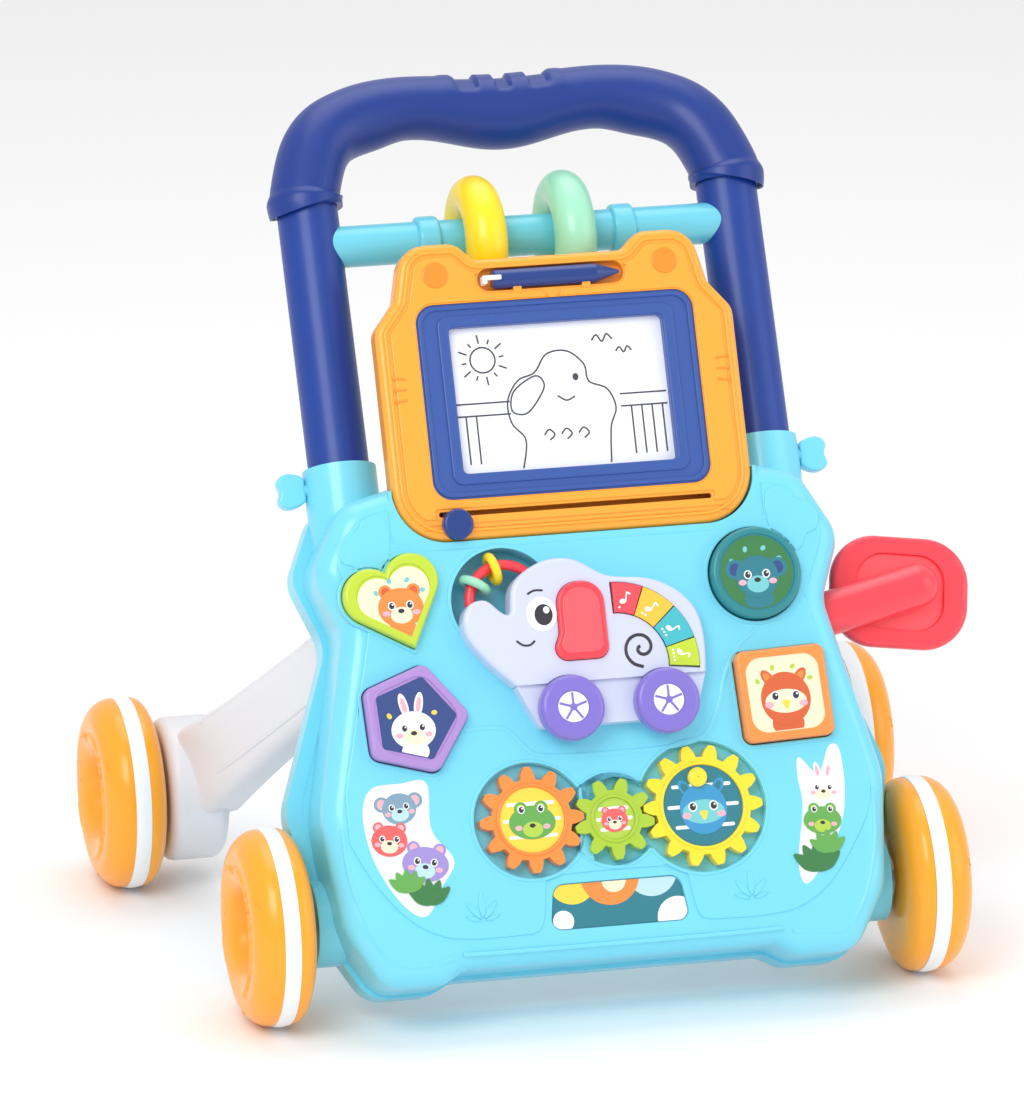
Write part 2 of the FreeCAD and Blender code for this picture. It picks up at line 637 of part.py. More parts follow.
# --------------------------------------------------------------------------------- drawing board
SCREEN_FRAME = (-80.5, 80.5, 250.0, 361.3)
SCREEN_VIEW = (-62.0, 62.0, 264.3, 347.7)
PEN_AT, PEN_TROUGH = (-34.0, 373.5), (-42.5, 42.5, 367.0, 380.0)
ERASER_AT, ERASER_SLOT = (-69.5, 235.7), (-79.0, 79.0, 240.6, 243.6)


def make_board():
    """Drawing board: hollow frame, back cover, screen bezel and screen."""
    wall = dim("board_wall")
    cover = wall - dim("board_depth")
    body = make_body("board_frame", PANEL)
    pad = add_pad(body, rounded(board_corners()), "Dims.board_depth - Dims.board_wall", down=True)
    add_fillet(body, pad, [0.0], "4")
    add_pocket(body, rounded(grow(board_corners(), -wall - 1.6)),
               "Dims.board_depth - 2 * Dims.board_wall", cover, up=True)
    add_pad(body, rounded(rectangle(*PEN_TROUGH[:2], PEN_TROUGH[2] - 1.5, PEN_TROUGH[3] + 1.5, 7.5)),
            "7.5", -0.5, down=True)
    add_pocket(body, rounded(rectangle(*PEN_TROUGH, 6.4)), "6.2")
    add_pocket(body, rounded(rectangle(*SCREEN_FRAME, 11)), "Dims.board_depth")
    add_pocket(body, rounded(rectangle(*ERASER_SLOT, 1.4)), "Dims.board_depth")
    for side in (-1, 1):
        add_pad(body, circle(side * 66.5, 377.8, 7.2), "0.8")
    back = make_body("board_back", PANEL)
    pad = add_pad(back, rounded(grow(board_corners(), -0.4)), "Dims.board_wall", cover, down=True)
    add_fillet(back, pad, [-dim("board_depth")], "1")
    bezel = make_body("screen_bezel", PANEL)
    frame = [SCREEN_FRAME[0] + 0.2, SCREEN_FRAME[1] - 0.2, SCREEN_FRAME[2] + 0.2, SCREEN_FRAME[3] - 0.2]
    add_pad(bezel, rounded(rectangle(*frame, 10.8)), "5.4", -0.6, down=True)
    add_pocket(bezel, rounded(rectangle(*SCREEN_VIEW, 3)), "8")
    screen = make_body("screen", PANEL)
    add_pad(screen, rounded(rectangle(-68, 68, 258, 353, 3)), "1.8", -6.0, down=True)


def make_eraser():
    """Eraser knob that runs in a slot and draws a magnet bar along behind the screen."""
    x, y = ERASER_AT
    knob = make_body("eraser_knob", PANEL)
    pad = add_pad(knob, circle(x, y, 8.7), "6", 0.3)
    add_fillet(knob, pad, [6.3], "2")
    add_pad(knob, rounded(rectangle(x - 3.5, x + 3.5, 241.1, 243.1, 0.4)), "10.8", 2.2, down=True)
    bar = make_body("eraser_bar", PANEL)
    add_pad(bar, rounded(rectangle(x - 5, x + 5, 240, 352, 2)), "3.6", -8.6, down=True)


def make_pen():
    """Pen lying in its trough, with the small hook at its blunt end."""
    pen = make_body("pen", on_panel(*PEN_AT, -0.4))
    add_revolution(pen, polyline([(0, 0), (0, 4.6), (1.2, 5.4), (60, 5.4), (74, 0.8), (74, 0)]))
    hook = make_body("pen_hook", on_panel(0, PEN_AT[1], 5.1))
    add_pad(hook, rounded(rectangle(-41, -30, -1.3, 1.3, 0.6)), "1.8")
    add_pad(hook, rounded(rectangle(-41, -38.4, -3.4, 1.3, 0.6)), "6", 1.8, down=True)


# ----------------------------------------------------------------------------- toys on the panel
def make_block(label, outline, inner, at, angle=0.0):
    """A loose shape block with a rounded top edge and a sunk picture field."""
    low = dim("block_gap") - dim("pocket_depth")
    body = make_body(label, on_panel(*at, low, angle))
    pad = add_pad(body, outline, "Dims.block_height")
    top = dim("block_height")
    add_fillet(body, pad, [top], "2.4")
    add_pocket(body, inner, "0.8", top)


def make_blocks():
    """Heart, pentagon, round and square blocks."""
    make_block("heart_block", heart_outline(), turned(heart_outline(), (0, 1), 0, 0.78), HEART_AT, HEART_TURN)
    corners = pentagon_corners()
    make_block("pentagon_block", rounded(corners), rounded(grow(corners, -4.5)), PENTAGON_AT, PENTAGON_TURN)
    make_block("round_block", circle(0, 0, ROUND_RADIUS), circle(0, 0, ROUND_RADIUS - 4), ROUND_AT)
    make_block("square_block", rounded(SQUARE), rounded(grow(SQUARE, -4.5)), SQUARE_AT, SQUARE_TURN)


def gear_outline(teeth):
    """Play gear with plain tapering teeth, thin enough to run loosely in mesh."""
    module = dim("gear_module")
    pitch = module * teeth / 2
    profile = [(pitch - 0.9 * module, 0.34), (pitch - 0.35 * module, 0.285), (pitch, 0.225),
               (pitch + 0.35 * module, 0.165), (pitch + 0.62 * module, 0.105)]
    points = []
    for tooth in range(teeth):
        middle = 2 * math.pi * tooth / teeth
        for share, sign in [(index, -1) for index in range(5)] + [(index, 1) for index in reversed(range(5))]:
            radius, half = profile[share]
            angle = middle + sign * half * 2 * math.pi / teeth
            points.append((radius * math.cos(angle), radius * math.sin(angle)))
    return polyline(points)


def make_gears():
    """Three play gears in mesh, each turning on a pin of the front shell."""
    low = dim("block_gap") - GEAR_WELL_DEPTH
    places = list(GEARS.items())
    turn = 0.0
    for index, (label, (x, y, teeth)) in enumerate(places):
        if index:
            before_x, before_y, before_teeth = places[index - 1][1]
            facing = math.degrees(math.atan2(y - before_y, x - before_x))
            offset = (facing - turn) / (360 / before_teeth)
            turn = facing + 180 + (offset + 0.5) * 360 / teeth
        body = make_body(label, on_panel(x, y, low, turn))
        add_pad(body, gear_outline(teeth), "Dims.gear_height")
        add_pocket(body, circle(0, 0, GEAR_PIN_RADIUS + dim("running_gap")), "Dims.gear_height - 1.4",
                   up=True)
        picture = dim("gear_module") * teeth / 2 - 8.5
        add_pocket(body, circle(0, 0, picture), "0.6", dim("gear_height"))


def make_labels():
    """Printed foil: the curved window label and the two corner stickers."""
    label = make_body("window_label", PANEL)
    add_pad(label, rounded(grow(WINDOW, -0.4)), "0.4", -LABEL_DEPTH)
    left = [(-141, 76), (-135, 91), (-118, 93), (-103, 92), (-103, 66), (-92, 48), (-100, 34), (-111, 18),
            (-124, 26), (-137, 50)]
    right = [(112, 90), (122, 80), (130, 95), (136, 92), (136, 66), (129, 44), (110, 19), (105, 30),
             (111, 62), (110, 80)]
    foils = []
    for outline in (left, right):
        face = Part.Face(Part.Wire([edge.toShape() for edge in smooth_loop(outline)]))
        foils.append(face.extrude(V(0, 0, 0.3)))
    add_shape("corner_stickers", Part.makeCompound(foils), PANEL)


# -------------------------------------------------------------------------------------- elephant
ELEPHANT_BACK, SEAM_V, LOWER_FRONT = 0.3, 141.0, 11.0
TRUNK = [(-48.5, SEAM_V), (-59, 151), (-68, 161.5), (-74, 172), (-74.5, 181), (-68.5, 189.5),
         (-60, 190), (-54, 184.5)]
CROWN = [(-49, 181.5), (-46.5, 192), (-38, 204.5), (-22, 211), (-5, 208.5), (8, 200.5), (30, 197),
         (48, 189.5), (58.5, 178), (62.3, 160), (61, SEAM_V)]
BELLY = [(-48.4, SEAM_V, 0.5), (-37, 116.7, 5), (53, 116.7, 6), (61, SEAM_V, 0.5)]
EAR = [(-28, 152.9, 7), (6.2, 152.9, 7), (6.2, 196.8, 12), (-20.5, 196.8, 12), (-21.2, 168, 6)]
FAN_AT, FAN_INNER, FAN_OUTER = (11.3, 148.8), 29.0, 46.0
KEYS = {"key_red": (67.0, 90.0), "key_yellow": (41.0, 67.0), "key_teal": (15.0, 41.0),
        "key_lime": (-6.0, 15.0)}
TOY_WHEELS = {"elephant_wheel_fore": (-19.0, 126.0), "elephant_wheel_hind": (36.0, 126.0)}
RING_AT, RING_RADIUS, RING_TUBE = V(-46.0, 191.5, -2.7), 20.3, 3.0
BEADS, BEAD_REACH = {"bead_yellow": 106.0, "bead_mint": 149.0}, 19.1


def sector(inner, outer, start, end):
    """Ring sector between two angles in degrees."""
    def at(radius, angle):
        return V(radius * math.cos(math.radians(angle)), radius * math.sin(math.radians(angle)), 0)
    middle = (start + end) / 2
    return [Part.Arc(at(outer, start), at(outer, middle), at(outer, end)),
            Part.LineSegment(at(outer, end), at(inner, end)),
            Part.Arc(at(inner, end), at(inner, middle), at(inner, start)),
            Part.LineSegment(at(inner, start), at(outer, start))]


def make_elephant():
    """Elephant's upper and lower shells, with wells for the ear and the keys, and wheel pins."""
    upper = make_body("elephant_upper", PANEL)
    seam = Part.LineSegment(V(*CROWN[-1], 0), V(*TRUNK[0], 0))
    outline = [smooth_curve([V(x, y, 0) for x, y in TRUNK + CROWN]), seam]
    pad = add_pad(upper, outline, f"Dims.elephant_front - {ELEPHANT_BACK}", ELEPHANT_BACK)
    top = dim("elephant_front")
    names = [name for name in edges_at(pad.Shape, top)
             if pad.Shape.getElement(name).Curve.TypeId != "Part::GeomLine"]
    fillet = upper.newObject("PartDesign::Fillet", "elephant_upper_round")
    fillet.Base = (pad, names)
    fillet.Radius = 3.0
    doc.recompute()
    add_pocket(upper, rounded(grow(EAR, 0.4)), "4", top)
    fan = turned(sector(FAN_INNER - 0.5, FAN_OUTER + 0.5, -7.0, 91.0), FAN_AT)
    add_pocket(upper, fan, "4", top)
    for x, y in TOY_WHEELS.values():
        add_pocket(upper, circle(x, y, dim("toy_wheel_radius") + 0.6), f"{top - LOWER_FRONT}", top)
    lower = make_body("elephant_lower", PANEL)
    add_pad(lower, rounded(BELLY), f"{LOWER_FRONT} - {ELEPHANT_BACK}", ELEPHANT_BACK)
    for x, y in TOY_WHEELS.values():
        add_pad(lower, circle(x, y, 3.0), "6", LOWER_FRONT)


def make_elephant_parts():
    """Ear, keys and wheels of the elephant, and the ring with two beads behind its trunk."""
    floor = dim("elephant_front") - 4 + dim("press_travel") + 0.1
    ear = make_body("elephant_ear", PANEL)
    pad = add_pad(ear, rounded(EAR), "4.6", floor)
    add_fillet(ear, pad, [floor + 4.6], "1.6")
    for label, (start, end) in KEYS.items():
        key = make_body(label, on_panel(*FAN_AT, floor))
        add_pad(key, sector(FAN_INNER, FAN_OUTER, start + 0.5, end - 0.5), "2.9")
    for label, (x, y) in TOY_WHEELS.items():
        wheel = make_body(label, on_panel(x, y, LOWER_FRONT + 0.3))
        pad = add_pad(wheel, circle(0, 0, dim("toy_wheel_radius")), "9")
        add_fillet(wheel, pad, [9.0], "3.5")
        add_pocket(wheel, circle(0, 0, 3.0 + dim("running_gap")), "6", up=True)
        add_pocket(wheel, circle(0, 0, 9.0), "0.8", 9.0)
    make_torus("trunk_ring", f"{RING_RADIUS}", f"{RING_TUBE}", on_panel(*RING_AT))
    for label, angle in BEADS.items():
        around = math.radians(angle)
        centre = RING_AT + V(BEAD_REACH * math.cos(around), BEAD_REACH * math.sin(around), 0)
        tangent = V(-math.sin(around), math.cos(around), 0)
        place = FreeCAD.Placement(centre, FreeCAD.Rotation(Z_AXIS, tangent))
        make_torus(label, "7.2", "2.6", PANEL.multiply(place))


# ------------------------------------------------------------------------- side paddle, screws
def make_paddle():
    """Side paddle: a round arm that turns in the front shell's side and carries a shallow dish."""
    radius = dim("paddle_arm")
    arm = Part.makeCylinder(radius, 62 + 12, V(-12, 0, 0), X_AXIS)
    flange = Part.makeCylinder(radius + 3, 3, V(-15, 0, 0), X_AXIS)
    dome = Part.makeSphere(radius, V(62, 0, 0))
    blank = [edge.toShape() for edge in rounded(rectangle(-40.5, 40.5, -32, 32, 26))]
    dish = Part.Face(Part.Wire(blank)).extrude(V(0, 0, 9))
    dish = dish.makeFillet(3.5, [edge for edge in dish.Edges if edge.BoundBox.ZLength < 0.01])
    sunk = [edge.toShape() for edge in rounded(rectangle(-26, 26, -22, 22, 16))]
    dish = dish.cut(Part.Face(Part.Wire(sunk)).extrude(V(0, 0, 5)).translated(V(0, 0, 6.5)))
    dish.Placement = FreeCAD.Placement(V(54, 0, -15), FreeCAD.Rotation(Z_AXIS, -20.6))
    shape = arm.fuse([flange, dome, dish]).removeSplitter()
    add_shape("paddle", shape, on_panel(*PADDLE_ROOT, dim("paddle_tilt")))


def make_screws():
    """Screw heads on the panel's back, each a low disc with a cross recess."""
    places = [(-128, 226), (128, 226), (0, 240), (-145, 100), (145, 100), (-70, 120), (70, 120),
              (-118, 0), (118, 0), (0, 2)]
    heads = []
    for u, v in places:
        head = Part.makeCylinder(3.6, 2.2, V(u, v, PANEL_BACK), -Z_AXIS)
        for long_side, short_side in ((3.6, 1.0), (1.0, 3.6)):
            corner = V(u - long_side / 2, v - short_side / 2, PANEL_BACK - 2.2)
            head = head.cut(Part.makeBox(long_side, short_side, 1.2, corner))
        heads.append(head)
    add_shape("back_screws", Part.makeCompound(heads), PANEL)


def main():
    """Build every sub-part, check it and write its file."""
    make_panel_front()
    make_panel_back()
    make_legs()
    make_grip()
    make_crossbar()
    make_bar_rings()
    make_knobs()
    make_rear_arms()
    make_axles()
    make_wheels()
    make_board()
    make_eraser()
    make_pen()
    make_blocks()
    make_gears()
    make_labels()
    make_elephant()
    make_elephant_parts()
    make_paddle()
    make_screws()
    doc.recompute()
    for item in doc.Objects:
        if "Invalid" in item.State or "Error" in item.State:
            raise ValueError(f"{item.Label} failed: {item.State}")
    for node in nodes:
        if node.Shape.isNull() or not node.Shape.isValid():
            raise ValueError(f"{node.Label} has no valid shape")
    os.makedirs("parts", exist_ok=True)
    for node in nodes:
        node.Shape.exportStep(f"parts/{node.Label}.step")
    print(len(nodes), "sub-parts")


main()
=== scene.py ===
"""Visual model of a toddler's push walker with a play panel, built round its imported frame."""

from __future__ import annotations

import json
import logging
import math
from collections.abc import Callable, Sequence
from dataclasses import dataclass, field
from enum import Enum

import bpy
from mathutils import Matrix, Vector
from mathutils.bvhtree import BVHTree
from mathutils.geometry import delaunay_2d_cdt, tessellate_polygon

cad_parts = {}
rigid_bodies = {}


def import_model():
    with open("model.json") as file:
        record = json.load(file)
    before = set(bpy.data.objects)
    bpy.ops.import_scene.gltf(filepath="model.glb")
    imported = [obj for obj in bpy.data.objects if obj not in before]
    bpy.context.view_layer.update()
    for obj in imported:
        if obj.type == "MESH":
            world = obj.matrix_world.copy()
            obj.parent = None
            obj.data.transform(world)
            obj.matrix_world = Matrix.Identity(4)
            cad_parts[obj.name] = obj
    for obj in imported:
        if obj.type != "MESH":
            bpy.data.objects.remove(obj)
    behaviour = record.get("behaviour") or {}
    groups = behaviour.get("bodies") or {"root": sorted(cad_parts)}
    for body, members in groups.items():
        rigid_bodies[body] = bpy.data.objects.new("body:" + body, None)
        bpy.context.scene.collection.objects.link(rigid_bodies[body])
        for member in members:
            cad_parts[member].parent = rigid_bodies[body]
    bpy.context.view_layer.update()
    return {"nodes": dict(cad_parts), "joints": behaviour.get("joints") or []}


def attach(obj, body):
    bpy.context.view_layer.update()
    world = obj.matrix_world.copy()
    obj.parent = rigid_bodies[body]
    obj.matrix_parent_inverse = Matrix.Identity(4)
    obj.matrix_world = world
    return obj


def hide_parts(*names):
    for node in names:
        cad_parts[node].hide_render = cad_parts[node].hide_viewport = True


LOG = logging.getLogger("walker")
Point = tuple[float, float]
Loop = list[Point]

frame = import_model()
JOINTS = {joint["name"]: joint for joint in frame["joints"]}


# ------------------------------------------------------------------------------------ finishes
class Surface(Enum):
    """How a surface was made: (roughness, coat weight, grain per metre, grain depth, mottle)."""

    GLOSS = (0.27, 0.2, 900.0, 0.012, 0.035)
    SATIN = (0.38, 0.08, 1400.0, 0.03, 0.04)
    MATT = (0.55, 0.0, 1800.0, 0.05, 0.03)
    PRINT = (0.3, 0.45, 2600.0, 0.012, 0.05)
    STEEL = (0.3, 0.0, 2200.0, 0.03, 0.06)
    FLOOR = (0.6, 0.0, 60.0, 0.01, 0.01)


@dataclass(frozen=True)
class Finish:
    """A named colour on one kind of surface.

    Args:
        name: what a maker would call it.
        rgb: colour as 0 to 255 screen values.
        surface: how the surface was made.
    """

    name: str
    rgb: tuple[int, int, int]
    surface: Surface = Surface.GLOSS

    def linear(self) -> tuple[float, float, float, float]:
        """Converts the colour from screen values.

        Returns:
            Red, green and blue in linear light, with a full alpha.
        """
        parts = [channel / 255 for channel in self.rgb]
        light = [p / 12.92 if p <= 0.04045 else ((p + 0.055) / 1.055) ** 2.4 for p in parts]
        return (light[0], light[1], light[2], 1.0)


class PlasticGroup:
    """Shader group that gives moulded plastic its mottle, grain, handling marks and dust."""

    def __init__(self) -> None:
        """Builds the group with named inputs and outputs."""
        self.tree = bpy.data.node_groups.new("moulded_surface", "ShaderNodeTree")
        face = self.tree.interface
        for name, kind, value in (
            ("Tone", "NodeSocketColor", (0.5, 0.5, 0.5, 1.0)),
            ("Roughness", "NodeSocketFloat", 0.3),
            ("Grain scale", "NodeSocketFloat", 900.0),
            ("Mottle", "NodeSocketFloat", 0.04),
        ):
            face.new_socket(name, in_out="INPUT", socket_type=kind).default_value = value
        for name, kind in (("Colour", "NodeSocketColor"), ("Roughness", "NodeSocketFloat"),
                           ("Height", "NodeSocketFloat")):
            face.new_socket(name, in_out="OUTPUT", socket_type=kind)
        self._wire()

    def _wire(self) -> None:
        """Links the group's nodes."""
        nodes, link = self.tree.nodes, self.tree.links.new
        given, out = nodes.new("NodeGroupInput"), nodes.new("NodeGroupOutput")
        place = nodes.new("ShaderNodeTexCoord").outputs["Object"]
        cloud = self._noise(place, 9.0, 3.0)
        grain = self._noise(place, 900.0, 2.0)
        link(given.outputs["Grain scale"], grain.inputs["Scale"])
        stretch = nodes.new("ShaderNodeMapping")
        stretch.inputs["Scale"].default_value = (30.0, 420.0, 90.0)
        stretch.inputs["Rotation"].default_value = (0.3, 0.5, 0.7)
        link(place, stretch.inputs["Vector"])
        marks = self._noise(stretch.outputs["Vector"], 1.0, 1.0)
        worn = self._range(marks.outputs["Fac"], 0.66, 0.74, 0.0, 0.06)
        shade = self._math("MULTIPLY_ADD", cloud.outputs["Fac"], given.outputs["Mottle"], 1.0)
        half = self._math("MULTIPLY", given.outputs["Mottle"], None, -0.5)
        value = self._math("ADD", shade, half, 0.0)
        tone = nodes.new("ShaderNodeHueSaturation")
        link(value, tone.inputs["Value"])
        link(given.outputs["Tone"], tone.inputs["Color"])
        up = nodes.new("ShaderNodeSeparateXYZ")
        link(nodes.new("ShaderNodeNewGeometry").outputs["Normal"], up.inputs["Vector"])
        dust = self._math("MULTIPLY", self._range(up.outputs["Z"], 0.75, 1.0, 0.0, 0.06),
                          cloud.outputs["Fac"], 0.0)
        dusted = nodes.new("ShaderNodeMix")
        dusted.data_type = "RGBA"
        link(dust, dusted.inputs["Factor"])
        link(tone.outputs["Color"], dusted.inputs[6])
        dusted.inputs[7].default_value = (0.8, 0.79, 0.76, 1.0)
        link(dusted.outputs[2], out.inputs["Colour"])
        rough = self._math("MULTIPLY_ADD", grain.outputs["Fac"], None, 0.03)
        link(given.outputs["Roughness"], rough.node.inputs[2])
        link(self._math("ADD", rough, worn, 0.0), out.inputs["Roughness"])
        link(grain.outputs["Fac"], out.inputs["Height"])

    def _noise(self, place: bpy.types.NodeSocket, scale: float, detail: float) -> bpy.types.Node:
        """Adds a noise texture.

        Args:
            place: where it is read.
            scale: grains per metre.
            detail: octaves of the noise.

        Returns:
            The texture's node.
        """
        node = self.tree.nodes.new("ShaderNodeTexNoise")
        node.inputs["Scale"].default_value = scale
        node.inputs["Detail"].default_value = detail
        self.tree.links.new(place, node.inputs["Vector"])
        return node

    def _range(self, value: bpy.types.NodeSocket, low: float, high: float, to_low: float,
               to_high: float) -> bpy.types.NodeSocket:
        """Maps a value from one range to another, clamped.

        Args:
            value: socket that is mapped.
            low: where its range starts.
            high: where its range ends.
            to_low: result at the start.
            to_high: result at the end.

        Returns:
            The socket with the result.
        """
        node = self.tree.nodes.new("ShaderNodeMapRange")
        for name, number in (("From Min", low), ("From Max", high), ("To Min", to_low),
                             ("To Max", to_high)):
            node.inputs[name].default_value = number
        self.tree.links.new(value, node.inputs["Value"])
        return node.outputs["Result"]

    def _math(self, kind: str, first: bpy.types.NodeSocket, second: bpy.types.NodeSocket | None,
              spare: float) -> bpy.types.NodeSocket:
        """Adds a sum of two or three values.

        Args:
            kind: Blender's name of the operation.
            first: socket of the first value.
            second: socket of the second value, if one is linked.
            spare: the second value if none is linked, and else the third.

        Returns:
            The socket with the result.
        """
        node = self.tree.nodes.new("ShaderNodeMath")
        node.operation = kind
        self.tree.links.new(first, node.inputs[0])
        node.inputs[1 if second is None else 2].default_value = spare
        if second is not None:
            self.tree.links.new(second, node.inputs[1])
        return node.outputs[0]


class Paintshop:
    """Makes each finish's material once."""

    def __init__(self) -> None:
        """Starts with the shared shader group and no materials."""
        self.group = PlasticGroup()
        self.made: dict[str, bpy.types.Material] = {}

    def material(self, finish: Finish) -> bpy.types.Material:
        """Material of a finish.

        Args:
            finish: colour and surface.

        Returns:
            The material, made on first use.
        """
        if finish.name in self.made:
            return self.made[finish.name]
        roughness, coat, grain_scale, grain_depth, mottle = finish.surface.value
        made = bpy.data.materials.new(finish.name)
        made.use_nodes = True
        nodes, link = made.node_tree.nodes, made.node_tree.links.new
        shader = nodes["Principled BSDF"]
        shader.inputs["Metallic"].default_value = 1.0 if finish.surface is Surface.STEEL else 0.0
        shader.inputs["Coat Weight"].default_value = coat
        shader.inputs["Coat Roughness"].default_value = 0.12
        shader.inputs["IOR"].default_value = 1.5
        group = nodes.new("ShaderNodeGroup")
        group.node_tree = self.group.tree
        group.inputs["Tone"].default_value = finish.linear()
        group.inputs["Roughness"].default_value = roughness
        group.inputs["Grain scale"].default_value = grain_scale
        group.inputs["Mottle"].default_value = mottle
        bump = nodes.new("ShaderNodeBump")
        bump.inputs["Strength"].default_value = grain_depth
        bump.inputs["Distance"].default_value = 0.0002
        link(group.outputs["Colour"], shader.inputs["Base Color"])
        link(group.outputs["Roughness"], shader.inputs["Roughness"])
        link(group.outputs["Height"], bump.inputs["Height"])
        link(bump.outputs["Normal"], shader.inputs["Normal"])
        self.made[finish.name] = made
        return made


PANEL_BLUE = Finish("panel_blue", (118, 214, 238))
KNOB_BLUE = Finish("knob_blue", (118, 214, 238))
BAR_BLUE = Finish("bar_blue", (108, 205, 228))
HANDLE_BLUE = Finish("handle_blue", (4, 56, 146), Surface.SATIN)
GRIP_BLUE = Finish("grip_blue", (2, 48, 134), Surface.SATIN)
ARM_GREY = Finish("arm_grey", (226, 226, 231), Surface.SATIN)
WHEEL_ORANGE = Finish("wheel_orange", (255, 166, 28))
TYRE_WHITE = Finish("tyre_white", (242, 244, 247), Surface.MATT)
STEEL = Finish("zinc_steel", (176, 178, 182), Surface.STEEL)
BOARD_ORANGE = Finish("board_orange", (255, 168, 52))
BOARD_DEEP = Finish("board_deep", (242, 142, 34))
BEZEL_BLUE = Finish("bezel_blue", (48, 84, 160), Surface.SATIN)
SCREEN_WHITE = Finish("screen_white", (244, 246, 252), Surface.MATT)
INK = Finish("screen_ink", (66, 68, 78), Surface.MATT)
NAVY = Finish("navy", (22, 56, 128))
WHITE = Finish("soft_white", (240, 240, 242))
YELLOW = Finish("ring_yellow", (255, 222, 24))
MINT = Finish("ring_mint", (158, 224, 192))
LIME = Finish("block_lime", (192, 216, 56))
LILAC = Finish("block_lilac", (172, 138, 206))
TEAL = Finish("block_teal", (36, 132, 140))
ORANGE = Finish("block_orange", (250, 146, 70))
ELEPHANT = Finish("elephant_grey", (206, 212, 236))
PURPLE = Finish("toy_purple", (128, 112, 204))
RED = Finish("toy_red", (255, 66, 80))
RED_LIGHT = Finish("toy_red_light", (255, 92, 102))
GEAR_ORANGE = Finish("gear_orange", (250, 142, 62))
GEAR_GREEN = Finish("gear_green", (170, 202, 56))
GEAR_YELLOW = Finish("gear_yellow", (255, 222, 48))
KEY_RED = Finish("key_red_shade", (228, 76, 88))
KEY_YELLOW = Finish("key_yellow_shade", (250, 194, 62))
KEY_TEAL = Finish("key_teal_shade", (68, 184, 196))


def printed(name: str, red: int, green: int, blue: int) -> Finish:
    """Printed film of one colour."""
    return Finish(f"print_{name}", (red, green, blue), Surface.PRINT)


P_WHITE = printed("white", 246, 247, 250)
P_CREAM = printed("cream", 252, 236, 200)
P_NAVY = printed("navy", 44, 70, 132)
P_BLACK = printed("black", 44, 42, 50)
P_ORANGE = printed("orange", 244, 140, 62)
P_RUST = printed("rust", 214, 96, 48)
P_YELLOW = printed("yellow", 255, 214, 70)
P_GREEN = printed("green", 98, 168, 78)
P_DARKGREEN = printed("dark_green", 52, 122, 66)
P_LIME = printed("lime", 176, 208, 74)
P_TEAL = printed("teal", 34, 122, 138)
P_AQUA = printed("aqua", 116, 200, 204)
P_BLUE = printed("blue", 52, 148, 200)
P_PINK = printed("pink", 250, 176, 190)
P_CORAL = printed("coral", 240, 98, 96)
P_LILAC = printed("lilac", 158, 140, 208)
P_GREY = printed("grey", 126, 160, 182)
P_SKY = printed("sky", 186, 222, 232)


# ------------------------------------------------------------------------------------ planes
@dataclass(frozen=True)
class Plane:
    """A drawing plane in millimetres: its middle in metres and the directions of its x and y."""

    middle: Vector
    across: Vector
    up: Vector

    @property
    def out(self) -> Vector:
        """Direction away from the plane's front."""
        return self.across.cross(self.up)

    def at(self, x: float, y: float, z: float = 0.0) -> Vector:
        """Point of the plane in metres."""
        return self.middle + (self.across * x + self.up * y + self.out * z) / 1000

    def moved(self, x: float, y: float, z: float = 0.0, turn: float = 0.0) -> Plane:
        """Plane with its middle moved, and turned about its normal by degrees."""
        spin = Matrix.Rotation(math.radians(turn), 3, self.out)
        return Plane(self.at(x, y, z), spin @ self.across, spin @ self.up)

    def matrix(self) -> Matrix:
        """Places a mesh drawn about the origin on this plane."""
        turned = Matrix((self.across, self.up, self.out)).transposed().to_4x4()
        return Matrix.Translation(self.middle) @ turned


MIDDLE_GEAR = (1.15, 63.5)


def panel_plane() -> Plane:
    """Finds the play panel's face from the middle gear's axle.

    Returns:
        The plane, whose middle lies on the panel's centre line above the front axle.
    """
    hub = JOINTS["gear_middle_spin"]
    across, out = Vector((1, 0, 0)), Vector(hub["axis"])
    face = Plane(Vector(hub["pos_m"]), across, out.cross(across))
    return face.moved(-MIDDLE_GEAR[0], -MIDDLE_GEAR[1])


PANEL = panel_plane()


def top_of(node: str) -> float:
    """Height in millimetres of a CAD node's highest point above the panel's face."""
    vertices = frame["nodes"][node].data.vertices
    return max((vertex.co - PANEL.middle).dot(PANEL.out) for vertex in vertices) * 1000


# ------------------------------------------------------------------------------------ outlines
def ease(share: float) -> float:
    """Smooth step from 0 to 1."""
    share = min(max(share, 0.0), 1.0)
    return share * share * (3 - 2 * share)


def circle(x: float, y: float, radius: float, steps: int = 48) -> Loop:
    """Circle, anticlockwise."""
    return ellipse(x, y, radius, radius, steps=steps)


def ellipse(x: float, y: float, wide: float, high: float, turn: float = 0.0,
            steps: int = 36) -> Loop:
    """Draws an ellipse, anticlockwise.

    Args:
        x: middle across.
        y: middle up.
        wide: half width.
        high: half height.
        turn: lean in degrees.
        steps: number of points.

    Returns:
        Its outline.
    """
    angles = [2 * math.pi * step / steps for step in range(steps)]
    shape = [(wide * math.cos(angle), high * math.sin(angle)) for angle in angles]
    return shifted(shape, x, y, turn)


def shifted(loop: Sequence[Point], x: float, y: float, turn: float = 0.0,
            size: float = 1.0) -> Loop:
    """Points scaled and turned about the origin, then moved."""
    cos, sin = math.cos(math.radians(turn)) * size, math.sin(math.radians(turn)) * size
    return [(x + px * cos - py * sin, y + px * sin + py * cos) for px, py in loop]


